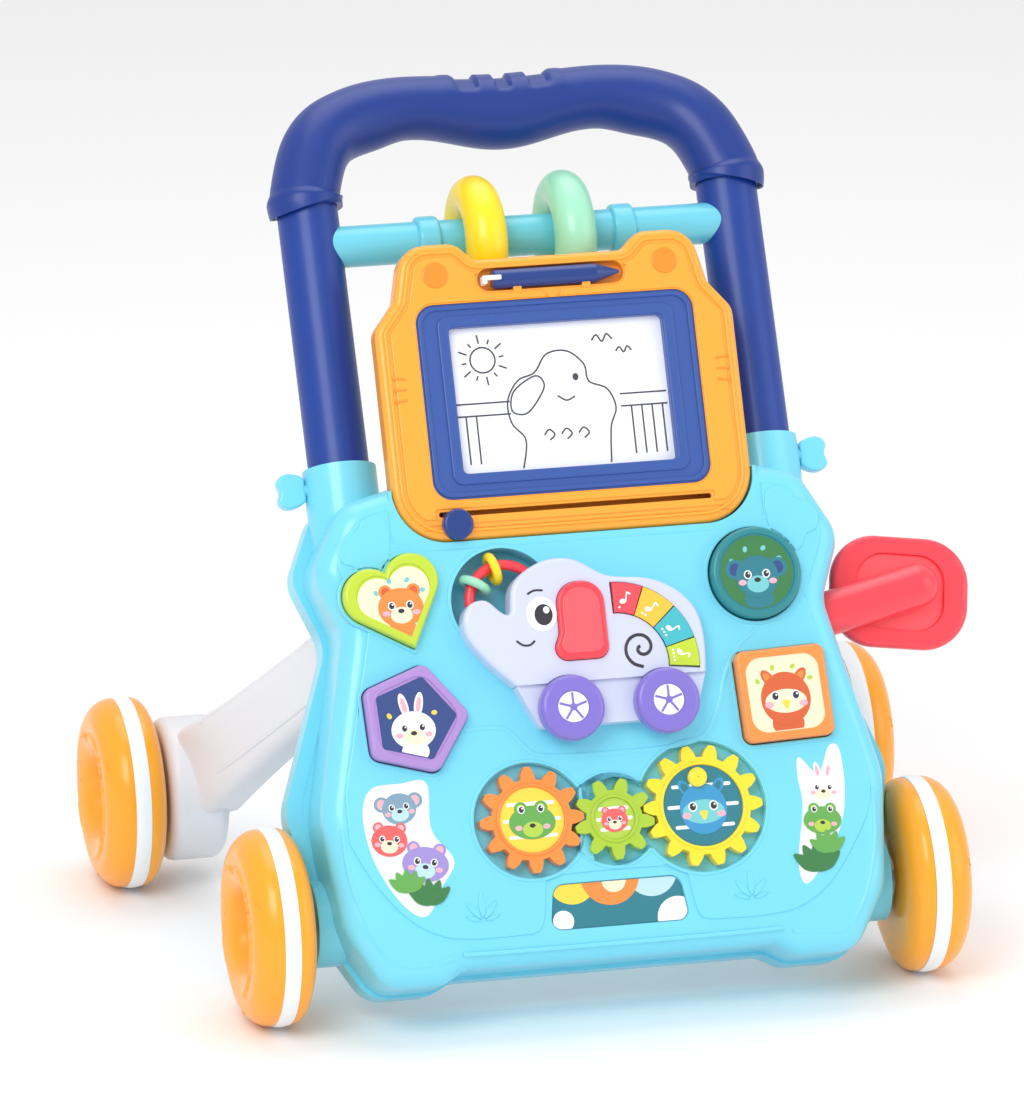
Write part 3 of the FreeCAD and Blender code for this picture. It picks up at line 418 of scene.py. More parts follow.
def smooth(points: Sequence[Point], closed: bool = True, steps: int = 8) -> Loop:
    """Draws a smooth curve through a few points.

    Args:
        points: where it passes, with two or three numbers each.
        closed: whether it returns to its start.
        steps: pieces between two points.

    Returns:
        The curve's points.
    """
    count, curve = len(points), []
    for index in range(count if closed else count - 1):
        near = [points[(index + shift) % count] if closed
                else points[min(max(index + shift, 0), count - 1)] for shift in (-1, 0, 1, 2)]
        for step in range(steps):
            t = step / steps
            weights = ((-t + 2 * t * t - t ** 3) / 2, (2 - 5 * t * t + 3 * t ** 3) / 2,
                       (t + 4 * t * t - 3 * t ** 3) / 2, (t ** 3 - t * t) / 2)
            curve.append(tuple(sum(w * p[axis] for w, p in zip(weights, near))
                               for axis in range(len(points[0]))))
    if not closed:
        curve.append(tuple(points[-1]))
    return curve


def rounded(corners: Sequence[tuple[float, float, float]], steps: int = 7) -> Loop:
    """Draws a polygon with rounded corners.

    Args:
        corners: each corner's x, y and radius.
        steps: pieces of each corner's arc.

    Returns:
        Its outline.
    """
    loop = []
    for index, (x, y, radius) in enumerate(corners):
        here = Vector((x, y))
        back = (Vector(corners[index - 1][:2]) - here).normalized()
        ahead = (Vector(corners[(index + 1) % len(corners)][:2]) - here).normalized()
        half = math.acos(max(-1.0, min(1.0, back.dot(ahead)))) / 2
        middle = here + (back + ahead).normalized() * (radius / math.sin(half))
        start, end = (here + side * (radius / math.tan(half)) - middle for side in (back, ahead))
        sweep = start.angle_signed(end, 0.0)
        for step in range(steps + 1):
            angle = math.atan2(start.y, start.x) - sweep * step / steps
            loop.append((middle.x + radius * math.cos(angle), middle.y + radius * math.sin(angle)))
    return loop


def box(x_low: float, x_high: float, y_low: float, y_high: float, radius: float) -> Loop:
    """Rectangle with rounded corners."""
    return rounded([(x_low, y_low, radius), (x_high, y_low, radius), (x_high, y_high, radius),
                    (x_low, y_high, radius)])


def offset(loop: Sequence[Point], distance: float) -> Loop:
    """Moves a loop to its left, which is inwards for an anticlockwise one.

    Args:
        loop: the outline.
        distance: how far it moves.

    Returns:
        The moved outline, with as many points.
    """
    moved, count = [], len(loop)
    for index, here in enumerate(loop):
        before, after = Vector(loop[index - 1]), Vector(loop[(index + 1) % count])
        first = (Vector(here) - before).normalized()
        second = (after - Vector(here)).normalized()
        normal = Vector((-first.y - second.y, first.x + second.x))
        share = max(1 + first.dot(second), 0.5)
        moved.append(tuple(Vector(here) + normal * (distance / share)))
    return moved


def area(loop: Sequence[Point]) -> float:
    """Signed area, positive when anticlockwise."""
    return sum(a[0] * b[1] - b[0] * a[1] for a, b in zip(loop, [*loop[1:], loop[0]])) / 2


def contains(loop: Sequence[Point], x: float, y: float) -> bool:
    """Tells whether a point lies inside a loop.

    Args:
        loop: the outline.
        x: the point's place across.
        y: the point's place up.

    Returns:
        True inside, False outside.
    """
    inside = False
    for (ax, ay), (bx, by) in zip(loop, [*loop[1:], loop[0]]):
        if (ay > y) != (by > y) and x < (bx - ax) * (y - ay) / (by - ay) + ax:
            inside = not inside
    return inside


def region(outline: Loop, holes: Sequence[Loop]) -> list[Loop]:
    """Edges of an outline less some holes, which may overlap each other and the outline.

    Args:
        outline: outer loop.
        holes: loops to take away.

    Returns:
        Loops with the region on their left.
    """
    points, edges, least_area = [], [], 2.0
    for loop in [outline, *holes]:
        first = len(points)
        points += [Vector(p) for p in loop]
        edges += [(first + i, first + (i + 1) % len(loop)) for i in range(len(loop))]
    found, _, faces = delaunay_2d_cdt(points, edges, [], 0, 1e-5)[:3]
    ahead: list[tuple[int, int]] = []
    for face in faces:
        x, y = (sum(found[i][axis] for i in face) / len(face) for axis in (0, 1))
        if contains(outline, x, y) and not any(contains(hole, x, y) for hole in holes):
            turn = face if area([tuple(found[i]) for i in face]) > 0 else face[::-1]
            for i, start in enumerate(turn):
                ahead.append((start, turn[(i + 1) % len(turn)]))
    taken = set(ahead)
    rim = {a: b for a, b in ahead if (b, a) not in taken}
    loops = []
    while rim:
        start, loop = next(iter(rim)), []
        here = start
        while here in rim:
            loop.append(tuple(found[here]))
            here = rim.pop(here)
        if len(loop) > 3 and abs(area(loop)) > least_area:
            loops.append(loop)
    return loops


def convex(loop: Loop) -> Loop:
    """Wraps some points.

    Args:
        loop: the points, in any order.

    Returns:
        The smallest convex anticlockwise loop round them.
    """
    ordered, halves = sorted(set(loop)), []
    for run in (ordered, ordered[::-1]):
        half: Loop = []
        for point in run:
            while len(half) > 1 and area([half[-2], half[-1], point]) <= 0:
                half.pop()
            half.append(point)
        halves += half[:-1]
    return halves


def clip(loop: Loop, window: Loop) -> Loop:
    """Cuts a convex loop to a window.

    Args:
        loop: the convex outline.
        window: a convex anticlockwise outline.

    Returns:
        The part inside the window, empty if there is none.
    """
    kept = loop
    for (ax, ay), (bx, by) in zip(window, [*window[1:], window[0]]):
        result: Loop = []
        for (px, py), (qx, qy) in zip(kept, [*kept[1:], kept[0]]):
            p = (bx - ax) * (py - ay) - (by - ay) * (px - ax)
            q = (bx - ax) * (qy - ay) - (by - ay) * (qx - ax)
            if p >= 0:
                result.append((px, py))
            if (p > 0) != (q > 0) and abs(p - q) > 1e-9:
                t = p / (p - q)
                result.append((px + (qx - px) * t, py + (qy - py) * t))
        kept = result
        if len(kept) < 3:
            return []
    return kept


# ------------------------------------------------------------------------------------ meshes
SHOP = Paintshop()


def woven(rings: int, wide: int, closed: bool) -> list[tuple[int, ...]]:
    """Joins rings of points that follow each other.

    Args:
        rings: number of rings.
        wide: number of points in each.
        closed: whether the last ring joins the first. If not, both ends are capped.

    Returns:
        The faces.
    """
    faces = []
    for ring in range(rings if closed else rings - 1):
        near, far = ring * wide, (ring + 1) % rings * wide
        for i in range(wide):
            j = (i + 1) % wide
            faces.append((near + i, far + i, far + j, near + j))
    if not closed:
        faces.append(tuple(range(wide)))
        faces.append(tuple(range(rings * wide - 1, (rings - 1) * wide - 1, -1)))
    return faces


@dataclass
class Draft:
    """Points and faces of one piece, gathered before they become an object."""

    name: str
    body: str
    slot: str
    points: list[Vector] = field(default_factory=list)
    faces: list[tuple[int, ...]] = field(default_factory=list)
    paint: list[int] = field(default_factory=list)
    finishes: list[Finish] = field(default_factory=list)

    def add(self, points: Sequence[Vector], faces: Sequence[Sequence[int]], finish: Finish) -> None:
        """Adds some faces.

        Args:
            points: their corners in metres.
            faces: numbers of each face's corners.
            finish: their colour and surface.
        """
        first = len(self.points)
        if finish not in self.finishes:
            self.finishes.append(finish)
        self.points += points
        self.faces += [tuple(first + i for i in face) for face in faces]
        self.paint += [self.finishes.index(finish)] * len(faces)

    def plate(self, plane: Plane, outline: Loop, finish: Finish, height: float, base: float = -0.3,
              edge: float = 0.4, holes: Sequence[Loop] = ()) -> None:
        """Adds a flat plate with a rounded rim.

        Args:
            plane: where its outline is drawn.
            outline: outer loop in millimetres.
            finish: its colour and surface.
            height: its top above the plane.
            base: its underside.
            edge: rounding of the rim.
            holes: loops taken out of it.
        """
        loops = region(outline, holes) if holes else [outline]
        if not holes and area(outline) < 0:
            loops = [outline[::-1]]
        rings = [(0.0, base), (0.0, height - edge), (0.3 * edge, height - 0.3 * edge),
                 (edge, height), (edge + 0.2, height)]
        points, faces, caps = [], [], []
        for loop in loops:
            first, count = len(points), len(loop)
            for inset, z in rings:
                points += [plane.at(x, y, z) for x, y in offset(loop, inset)]
            for ring in range(len(rings) - 1):
                low = first + ring * count
                for i in range(count):
                    j = (i + 1) % count
                    faces.append((low + i, low + j, low + count + j, low + count + i))
            caps.append((first, first + (len(rings) - 1) * count, loop, offset(loop, rings[-1][0])))
        for which, upward in ((0, False), (1, True)):
            flat = [[Vector((x, y, 0)) for x, y in cap[2 + which]] for cap in caps]
            number = [cap[which] + i for cap in caps for i in range(len(cap[2]))]
            place = [tuple(p[:2]) for loop in flat for p in loop]
            for face in tessellate_polygon(flat):
                turn = area([place[i] for i in face])
                if abs(turn) > 1e-9:
                    order = face if (turn > 0) == upward else face[::-1]
                    faces.append(tuple(number[i] for i in order))
        self.add(points, faces, finish)

    def bead(self, plane: Plane, path: Sequence[Point], finish: Finish, width: float,
             height: float, closed: bool = False, base: float = -0.2) -> None:
        """Adds a rounded line.

        Args:
            plane: where its path is drawn.
            path: the line's middle in millimetres.
            finish: its colour and surface.
            width: its width.
            height: its top above the plane.
            closed: whether it returns to its start.
            base: its underside.
        """
        section = [(-0.5, base), (-0.46, 0.4 * height), (-0.25, 0.86 * height), (0.0, height),
                   (0.25, 0.86 * height), (0.46, 0.4 * height), (0.5, base)]
        count, points = len(path), []
        for index, here in enumerate(path):
            before = path[index - 1] if closed or index else here
            after = path[(index + 1) % count] if closed or index < count - 1 else here
            along = (Vector(after) - Vector(before)).normalized()
            for shift, z in section:
                points.append(plane.at(here[0] + along.y * shift * width,
                                       here[1] - along.x * shift * width, z))
        self.add(points, woven(count, len(section), closed), finish)

    def ridge(self, line: Sequence[tuple[Vector, Vector]], finish: Finish, width: float,
              height: float) -> None:
        """Adds a rounded ridge that fades out at both ends.

        Args:
            line: points of a surface in metres, each with its normal.
            finish: its colour and surface.
            width: its width in millimetres.
            height: its height in millimetres.
        """
        section = [(-0.5, -0.3), (-0.4, 0.5), (-0.2, 0.9), (0.0, 1.0), (0.2, 0.9), (0.4, 0.5),
                   (0.5, -0.3)]
        points, last = [], len(line) - 1
        for index, (place, normal) in enumerate(line):
            along = (line[min(index + 1, last)][0] - line[max(index - 1, 0)][0]).normalized()
            aside = along.cross(normal).normalized()
            fade = math.sin(math.pi * min(index, last - index, 4) / 8)
            for shift, rise in section:
                points.append(place + aside * shift * width / 1000
                              + normal * rise * height * max(fade, 0.05) / 1000)
        self.add(points, woven(len(line), len(section), False), finish)

    def lathe(self, plane: Plane, profile: Sequence[Point], finish: Finish, segments: int = 96,
              relief: Callable[[float, float], float] | None = None) -> None:
        """Adds a shell turned round a plane's normal.

        Args:
            plane: its middle and normal are the shell's.
            profile: closed section as (radius, height) in millimetres.
            finish: its colour and surface.
            segments: number of sections round the shell.
            relief: rise at an angle and a radius, added above the plane.
        """
        points = []
        for segment in range(segments):
            angle = 2 * math.pi * segment / segments
            for radius, height in profile:
                z = height + (relief(angle, radius) if relief and height > 0 else 0.0)
                points.append(plane.at(radius * math.cos(angle), radius * math.sin(angle), z))
        self.add(points, woven(segments, len(profile), True), finish)

    def build(self, *replaced: str) -> bpy.types.Object:
        """Makes the object, sets it riding on its body and takes over the replaced nodes.

        Args:
            replaced: CAD nodes that it stands for.

        Returns:
            The finished object.
        """
        mesh = bpy.data.meshes.new(self.name)
        mesh.from_pydata([tuple(p) for p in self.points], [], self.faces)
        for finish in self.finishes:
            mesh.materials.append(SHOP.material(finish))
        mesh.polygons.foreach_set("material_index", self.paint)
        return settle(mesh, self.name, self.body, replaced)


def settle(mesh: bpy.types.Mesh, name: str, body: str,
           replaced: Sequence[str] = ()) -> bpy.types.Object:
    """Turns a finished mesh into a riding piece with smooth faces between sharp edges.

    Args:
        mesh: its shape in the frame's metres.
        name: what the piece is called.
        body: the body that it moves with.
        replaced: CAD nodes that it stands for.

    Returns:
        The piece.
    """
    mesh.validate()
    mesh.polygons.foreach_set("use_smooth", [True] * len(mesh.polygons))
    mesh.set_sharp_from_angle(angle=math.radians(38))
    piece = bpy.data.objects.new(name, mesh)
    bpy.context.scene.collection.objects.link(piece)
    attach(piece, body)
    if replaced:
        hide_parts(*replaced)
    LOG.info("%s: %d faces on %s", name, len(mesh.polygons), body)
    return piece


class RingOfCopies:
    """Geometry-node tree that sets copies of one mesh round a ring and makes them real."""

    def __init__(self) -> None:
        """Builds the tree with named inputs."""
        self.tree = bpy.data.node_groups.new("ring_of_copies", "GeometryNodeTree")
        face = self.tree.interface
        face.new_socket("Geometry", in_out="INPUT", socket_type="NodeSocketGeometry")
        self.ids = {name: face.new_socket(name, in_out="INPUT", socket_type=kind).identifier
                    for name, kind in (("Count", "NodeSocketInt"), ("Radius", "NodeSocketFloat"),
                                       ("First angle", "NodeSocketFloat"),
                                       ("Finish", "NodeSocketMaterial"))}
        face.new_socket("Geometry", in_out="OUTPUT", socket_type="NodeSocketGeometry")
        nodes, link = self.tree.nodes, self.tree.links.new
        given, out = nodes.new("NodeGroupInput"), nodes.new("NodeGroupOutput")
        ring = nodes.new("GeometryNodeMeshCircle")
        link(given.outputs["Count"], ring.inputs["Vertices"])
        link(given.outputs["Radius"], ring.inputs["Radius"])
        step = nodes.new("ShaderNodeMath")
        step.operation = "DIVIDE"
        step.inputs[0].default_value = 2 * math.pi
        link(given.outputs["Count"], step.inputs[1])
        angle = nodes.new("ShaderNodeMath")
        angle.operation = "MULTIPLY"
        link(nodes.new("GeometryNodeInputIndex").outputs[0], angle.inputs[0])
        link(step.outputs[0], angle.inputs[1])
        turn = nodes.new("ShaderNodeCombineXYZ")
        link(angle.outputs[0], turn.inputs["Z"])
        copies = nodes.new("GeometryNodeInstanceOnPoints")
        link(ring.outputs["Mesh"], copies.inputs["Points"])
        link(given.outputs["Geometry"], copies.inputs["Instance"])
        link(turn.outputs[0], copies.inputs["Rotation"])
        start = nodes.new("ShaderNodeCombineXYZ")
        link(given.outputs["First angle"], start.inputs["Z"])
        placed = nodes.new("GeometryNodeTransform")
        link(copies.outputs["Instances"], placed.inputs["Geometry"])
        link(start.outputs[0], placed.inputs["Rotation"])
        real = nodes.new("GeometryNodeRealizeInstances")
        link(placed.outputs["Geometry"], real.inputs["Geometry"])
        coat = nodes.new("GeometryNodeSetMaterial")
        link(real.outputs["Geometry"], coat.inputs["Geometry"])
        link(given.outputs["Finish"], coat.inputs["Material"])
        link(coat.outputs["Geometry"], out.inputs["Geometry"])

    def around(self, draft: Draft, plane: Plane, count: int, radius: float,
               first: float = 0.0) -> None:
        """Turns a draft, drawn about the origin, into a ring of copies of itself.

        Args:
            draft: one copy, on the drawing plane at the origin.
            plane: where the ring lies.
            count: number of copies.
            radius: ring radius in millimetres.
            first: angle of the first copy in degrees.
        """
        mesh = bpy.data.meshes.new(draft.name)
        mesh.from_pydata([tuple(p) for p in draft.points], [], draft.faces)
        source = bpy.data.objects.new(draft.name + "_copy", mesh)
        bpy.context.scene.collection.objects.link(source)
        modifier = source.modifiers.new("ring", "NODES")
        modifier.node_group = self.tree
        values = {"Count": count, "Radius": radius / 1000, "First angle": math.radians(first),
                  "Finish": SHOP.material(draft.finishes[0])}
        for name, value in values.items():
            modifier[self.ids[name]] = value
        bpy.context.view_layer.update()
        ready = source.evaluated_get(bpy.context.evaluated_depsgraph_get())
        result = bpy.data.meshes.new_from_object(ready)
        bpy.data.objects.remove(source)
        result.transform(plane.matrix())
        settle(result, draft.name, draft.body)


RINGS = RingOfCopies()
DRAWING = Plane(Vector((0, 0, 0)), Vector((1, 0, 0)), Vector((0, 1, 0)))


# ------------------------------------------------------------------------------------ pictures
class Ears(Enum):
    """Ear shapes of the printed animals: (across, up, half width, half height, turn)."""

    ROUND = (0.62, 0.72, 0.3, 0.3, 0.0)
    WIDE = (0.92, 0.35, 0.42, 0.42, 0.0)
    LONG = (0.34, 1.12, 0.2, 0.56, -12.0)
    POINTED = (0.62, 0.8, 0.2, 0.36, -35.0)
    BULGING = (0.48, 0.66, 0.32, 0.32, 0.0)


@dataclass(frozen=True)
class AnimalFace:
    """A simple printed animal's face, drawn with a head one unit in half width."""

    coat: Finish
    inner: Finish
    muzzle: Finish
    ears: Ears
    wide: float = 1.0
    high: float = 0.86
    beak: Finish | None = None

    def draw(self, draft: Draft, plane: Plane, x: float, y: float, size: float,
             turn: float = 0.0, level: int = 2) -> None:
        """Adds the face to a draft.

        Args:
            draft: piece that takes the patches.
            plane: where it is drawn.
            x: middle across, in millimetres.
            y: middle up.
            size: half width of the head in millimetres.
            turn: lean in degrees.
            level: how many printed layers lie under it.
        """
        ear_x, ear_y, ear_w, ear_h, ear_turn = self.ears.value
        patches = []
        for side in (-1, 1):
            ear = (side * ear_x, ear_y)
            patches.append((0, ellipse(*ear, ear_w, ear_h, ear_turn * side), self.coat))
            patches.append((1, ellipse(*ear, 0.6 * ear_w, 0.65 * ear_h, ear_turn * side),
                            self.inner))
        patches.append((2, ellipse(0, 0, self.wide, self.high, steps=48), self.coat))
        if self.beak is None:
            patches.append((3, ellipse(0, -0.32, 0.48, 0.36), self.muzzle))
            patches.append((4, ellipse(0, -0.14, 0.14, 0.1), P_BLACK))
        else:
            patches.append((3, ellipse(0, -0.1, 0.8, 0.45), self.muzzle))
            patches.append((4, smooth([(-0.15, -0.1), (0.15, -0.1), (0, -0.42)]), self.beak))
        eye_x, eye_y = (0.46, 0.62) if self.ears is Ears.BULGING else (0.4, 0.1)
        for side in (-1, 1):
            eye = (side * eye_x, eye_y)
            patches.append((4, ellipse(*eye, 0.17, 0.19), P_WHITE))
            patches.append((5, ellipse(*eye, 0.12, 0.14), P_BLACK))
            patches.append((6, ellipse(eye[0] + 0.04, eye[1] + 0.05, 0.04, 0.04), P_WHITE))
            patches.append((4, ellipse(side * 0.66, -0.22, 0.17, 0.12), P_PINK))
        for lift, loop, finish in patches:
            layer(draft, plane, shifted(loop, x, y, turn, size), finish, level + lift)


def layer(draft: Draft, plane: Plane, loop: Loop, finish: Finish, level: float) -> None:
    """Adds one printed patch, a hair above the layers under it.

    Args:
        draft: piece that takes it.
        plane: surface that it is printed on.
        loop: its outline in millimetres.
        finish: its colour.
        level: how many layers lie under it.
    """
    first, film, edge = 0.12, 0.045, 0.03
    draft.plate(plane, loop, finish, first + film * level, 0.0, edge)


def leaf_tuft(draft: Draft, plane: Plane, x: float, y: float, size: float, finish: Finish,
              level: float) -> None:
    """Adds a fan of printed leaves, the middle one on top.

    Args:
        draft: piece that takes them.
        plane: surface that they are printed on.
        x: their foot across.
        y: their foot up.
        size: length of a leaf in millimetres.
        finish: their colour.
        level: how many layers lie under them.
    """
    blade, lift = smooth([(0, 0), (0.22, 0.45), (0, 1), (-0.22, 0.45)]), 0.7
    for order, turn in enumerate((-52, 52, -26, 26, 0)):
        layer(draft, plane, shifted(blade, x, y, turn, size), finish, level + lift * order)


CAT = AnimalFace(P_ORANGE, P_RUST, P_CREAM, Ears.ROUND)
RABBIT = AnimalFace(P_WHITE, P_PINK, P_CREAM, Ears.LONG, 1.0, 0.84)
KOALA = AnimalFace(P_TEAL, P_NAVY, P_AQUA, Ears.WIDE, 0.92, 0.9)
OWL = AnimalFace(P_RUST, P_ORANGE, P_CREAM, Ears.POINTED, 0.96, 1.0, P_YELLOW)
FROG = AnimalFace(P_GREEN, P_LIME, P_LIME, Ears.BULGING, 1.1, 0.78)
BEAR = AnimalFace(P_CORAL, P_PINK, P_CREAM, Ears.ROUND)
BIRD = AnimalFace(P_BLUE, P_TEAL, P_AQUA, Ears.POINTED, 0.9, 0.95, P_YELLOW)
MOUSE = AnimalFace(P_GREY, P_PINK, P_SKY, Ears.WIDE, 0.94, 0.84)
HIPPO = AnimalFace(P_LILAC, P_PINK, P_SKY, Ears.ROUND, 1.1, 0.8)


# ------------------------------------------------------------------------------------ parts
@dataclass
class CadFinishes:
    """Finishes of the pieces whose CAD shape stays."""

    by_prefix: dict[str, Finish] = field(default_factory=lambda: {
        "panel_": PANEL_BLUE, "wing_knob": KNOB_BLUE, "handle_leg": HANDLE_BLUE,
        "handle_grip": GRIP_BLUE, "grip_core": GRIP_BLUE, "crossbar": BAR_BLUE,
        "crossbar_ring_yellow": YELLOW, "crossbar_ring_mint": MINT, "rear_arm": ARM_GREY,
        "front_axle": STEEL, "rear_axles": STEEL, "window_label": P_TEAL,
        "corner_stickers": P_WHITE, "back_screws": STEEL, "board_": BOARD_ORANGE,
        "screen": SCREEN_WHITE, "screen_bezel": BEZEL_BLUE, "pen": NAVY, "pen_hook": WHITE,
        "eraser_knob": NAVY, "eraser_bar": WHITE, "heart_block": LIME, "pentagon_block": LILAC,
        "round_block": TEAL, "square_block": ORANGE, "elephant_": ELEPHANT,
        "elephant_ear": RED, "elephant_wheel": PURPLE, "trunk_ring": RED, "key_red": KEY_RED,
        "key_yellow": KEY_YELLOW, "key_teal": KEY_TEAL, "key_lime": LIME,
        "bead_yellow": YELLOW, "bead_mint": MINT, "gear_left": GEAR_ORANGE,
        "gear_middle": GEAR_GREEN, "gear_right": GEAR_YELLOW, "paddle": RED,
        "front_left_wheel": WHEEL_ORANGE, "front_right_wheel": WHEEL_ORANGE,
        "rear_left_wheel": WHEEL_ORANGE, "rear_right_wheel": WHEEL_ORANGE})

    def dress(self) -> None:
        """Gives every CAD node its material."""
        for name, node in frame["nodes"].items():
            fits = [prefix for prefix in self.by_prefix if name.startswith(prefix)]
            finish = self.by_prefix[max(fits, key=len)]
            if name.endswith("_tyre"):
                finish = TYRE_WHITE
            elif name.endswith("_cap"):
                finish = WHITE
            node.data.materials.clear()
            node.data.materials.append(SHOP.material(finish))
            LOG.info("%s: %s", name, finish.name)


@dataclass
class Wheels:
    """Four wheels: ring-shaped outer shells with petals, domed inner shells. Sizes in mm."""

    petals: int = 5
    petal_rise: float = 1.7
    petal_reach: tuple[float, float] = (31.5, 38.0)
    petal_foot: tuple[float, float] = (22.4, 25.4)
    marks: int = 3
    mark_ring: float = 49.0
    mark_level: float = 18.3

    def outer_profile(self) -> list[Point]:
        """Draws the outer shell's section.

        Returns:
            A closed profile of (radius, height), from the tyre to the bore and back inside.
        """
        outside = [(54.8, 4.7), (55.2, 7.5), (54.4, 11.2), (52.4, 14.9), (49.2, 18.2), (45.4, 20.5),
                   (43.0, 21.2), (41.0, 21.5), (39.0, 21.4), (37.0, 21.1), (35.2, 20.8),
                   (33.6, 20.4), (32.0, 20.0), (30.4, 19.5), (28.8, 18.9), (27.2, 18.2),
                   (25.4, 17.3), (23.8, 16.4), (22.6, 15.2), (21.8, 13.6), (19.0, 8.0),
                   (16.5, 4.9)]
        return outside + [(9.0, 4.7), (9.0, 2.6), (48.0, 2.6), (49.2, 4.6)]

    def petal(self, angle: float, radius: float) -> float:
        """Works out the petals round the hole.

        Args:
            angle: place round the shell in radians.
            radius: place across it.

        Returns:
            The rise there, which is below zero outside the petals.
        """
        (near, far), (foot, full) = self.petal_reach, self.petal_foot
        edge = near + (far - near) * abs(math.cos(self.petals * angle / 2)) ** 0.7
        share = (edge - radius) / 1.1 + 0.5
        inner = min(max((radius - foot) / (full - foot), 0.0), 1.0)
        return self.petal_rise * (ease(share) * inner - 0.9)

    def inner_profile(self) -> list[Point]:
        """Draws the inner shell's section.

        Returns:
            A closed profile of (radius, height), from the tyre to the axle and back inside.
        """
        dome = [(54.9, 4.7), (55.0, 7.0), (53.6, 10.3), (50.2, 13.2), (45.0, 15.4), (38.0, 16.4),
                (30.0, 16.7), (22.0, 16.7), (15.0, 16.6), (13.8, 16.9), (12.6, 16.6), (5.2, 16.5),
                (4.6, 16.0)]
        return dome + [(4.4, 13.0), (47.0, 11.5), (49.5, 4.6)]

    def make(self) -> None:
        """Builds the shells of all four wheels and their small relief marks."""
        for end in ("front", "rear"):
            for side, hand in ((-1, "left"), (1, "right")):
                name = f"{end}_{hand}_wheel"
                hub = Vector(JOINTS[name + "_roll"]["pos_m"])
                outward = Plane(hub, Vector((0, side, 0)), Vector((0, 0, 1)))
                inward = Plane(hub, Vector((0, -side, 0)), Vector((0, 0, 1)))
                shell = Draft(name + "_petal_shell", name, "wheel_plastic")
                shell.lathe(outward, self.outer_profile(), WHEEL_ORANGE, 160, self.petal)
                shell.build(name + "_outer")
                dome = Draft(name + "_dome_shell", name, "wheel_plastic")
                dome.lathe(inward, self.inner_profile(), WHEEL_ORANGE, 96)
                dome.build(name + "_inner")
                self.rim_marks(name, outward)

    def rim_marks(self, name: str, plane: Plane) -> None:
        """Adds small zigzag marks near the rim of an outer shell.

        Args:
            name: the wheel's name.
            plane: its middle plane, facing outwards.
        """
        mark = Draft(name + "_rim_marks", name, "wheel_plastic")
        zigzag = [(-2.6, 2.4), (-0.7, 1.0), (-1.1, -0.9), (1.2, -2.5)]
        tilted = Plane(DRAWING.middle, Vector((0.76, 0, -0.65)), DRAWING.up)
        mark.bead(tilted, zigzag, WHEEL_ORANGE, 0.8, 0.35, base=-0.6)
        top = plane.moved(0, 0, self.mark_level - 0.9 * self.petal_rise)
        RINGS.around(mark, top, self.marks, self.mark_ring, 35.0)


@dataclass
class Grip:
    """Soft sleeve of the bow handle: wavy underside, finger notches, rolled end collars."""

    radius: float = 19.8
    collar: float = 21.8
    bulge: float = 3.4
    notch_depth: float = 2.6
    notches: tuple[Point, ...] = ((-22.5, 12.5), (0.0, 9.5), (22.5, 12.5))
    half_path: tuple[tuple[float, float, float], ...] = (
        (123, 430, -55.96), (123, 440, -56.66), (112.5, 466, -64), (95, 480, -69.5),
        (62, 487.2, -73.5), (0, 485.5, -76))
    forward: tuple[float, float, float] = (0, 11.5, 163.5)
    sides: int = 56

    def spread(self, across: float, along: float, length: float, turn: float) -> float:
        """Radius of the sleeve.

        Args:
            across: distance from the centre plane.
            along: distance from the sleeve's end.
            length: whole length of the sleeve.
            turn: angle round the sleeve, 0 on the bow's outside and pi on its inside.

        Returns:
            Radius in millimetres.
        """
        end = min(along, length - along)
        radius = self.radius + (self.collar - self.radius) * ease(1 - (end - 5.0) / 3.0)
        radius -= 1.2 * ease(1 - end / 1.6)
        low = max(0.0, -math.cos(turn)) ** 1.5
        wave = math.cos(math.pi * across / 52) * ease((96 - abs(across)) / 40)
        radius += low * self.bulge * wave
        high = ease((math.cos(turn) - 0.25) / 0.35)
        for middle, width in self.notches:
            inside = ease((width / 2 - abs(across - middle)) / 1.6 + 0.5)
            radius -= high * self.notch_depth * inside
        raised = ease((38 - abs(across)) / 2.5) * ease((math.cos(turn) - 0.05) / 0.12)
        return radius + 0.7 * raised * ease((end - 12) / 4)

    def make(self) -> None:
        """Builds the sleeve round the bow."""
        half = [(-x, y, z) for x, y, z in self.half_path]
        path = half + [(-x, y, z) for x, y, z in reversed(half[:-1])]
        line = [Vector(p) for p in smooth(path, closed=False, steps=34)]
        gone = [0.0]
        for here, after in zip(line, line[1:]):
            gone.append(gone[-1] + (after - here).length)
        side = Vector(self.forward).normalized()
        points = []
        for index, here in enumerate(line):
            ahead = (line[min(index + 1, len(line) - 1)] - line[max(index - 1, 0)]).normalized()
            outside = side.cross(ahead).normalized()
            flank = ahead.cross(outside)
            for step in range(self.sides):
                turn = 2 * math.pi * step / self.sides
                reach = self.spread(here.x, gone[index], gone[-1], turn)
                place = here + (outside * math.cos(turn) + flank * math.sin(turn)) * reach
                points.append(PANEL.at(*place))
        faces = [(face[0], *face[:0:-1]) for face in woven(len(line), self.sides, False)]
        draft = Draft("grip_sleeve", "frame", "handle_plastic")
        draft.add(points, faces, GRIP_BLUE)
        draft.build("handle_grip")


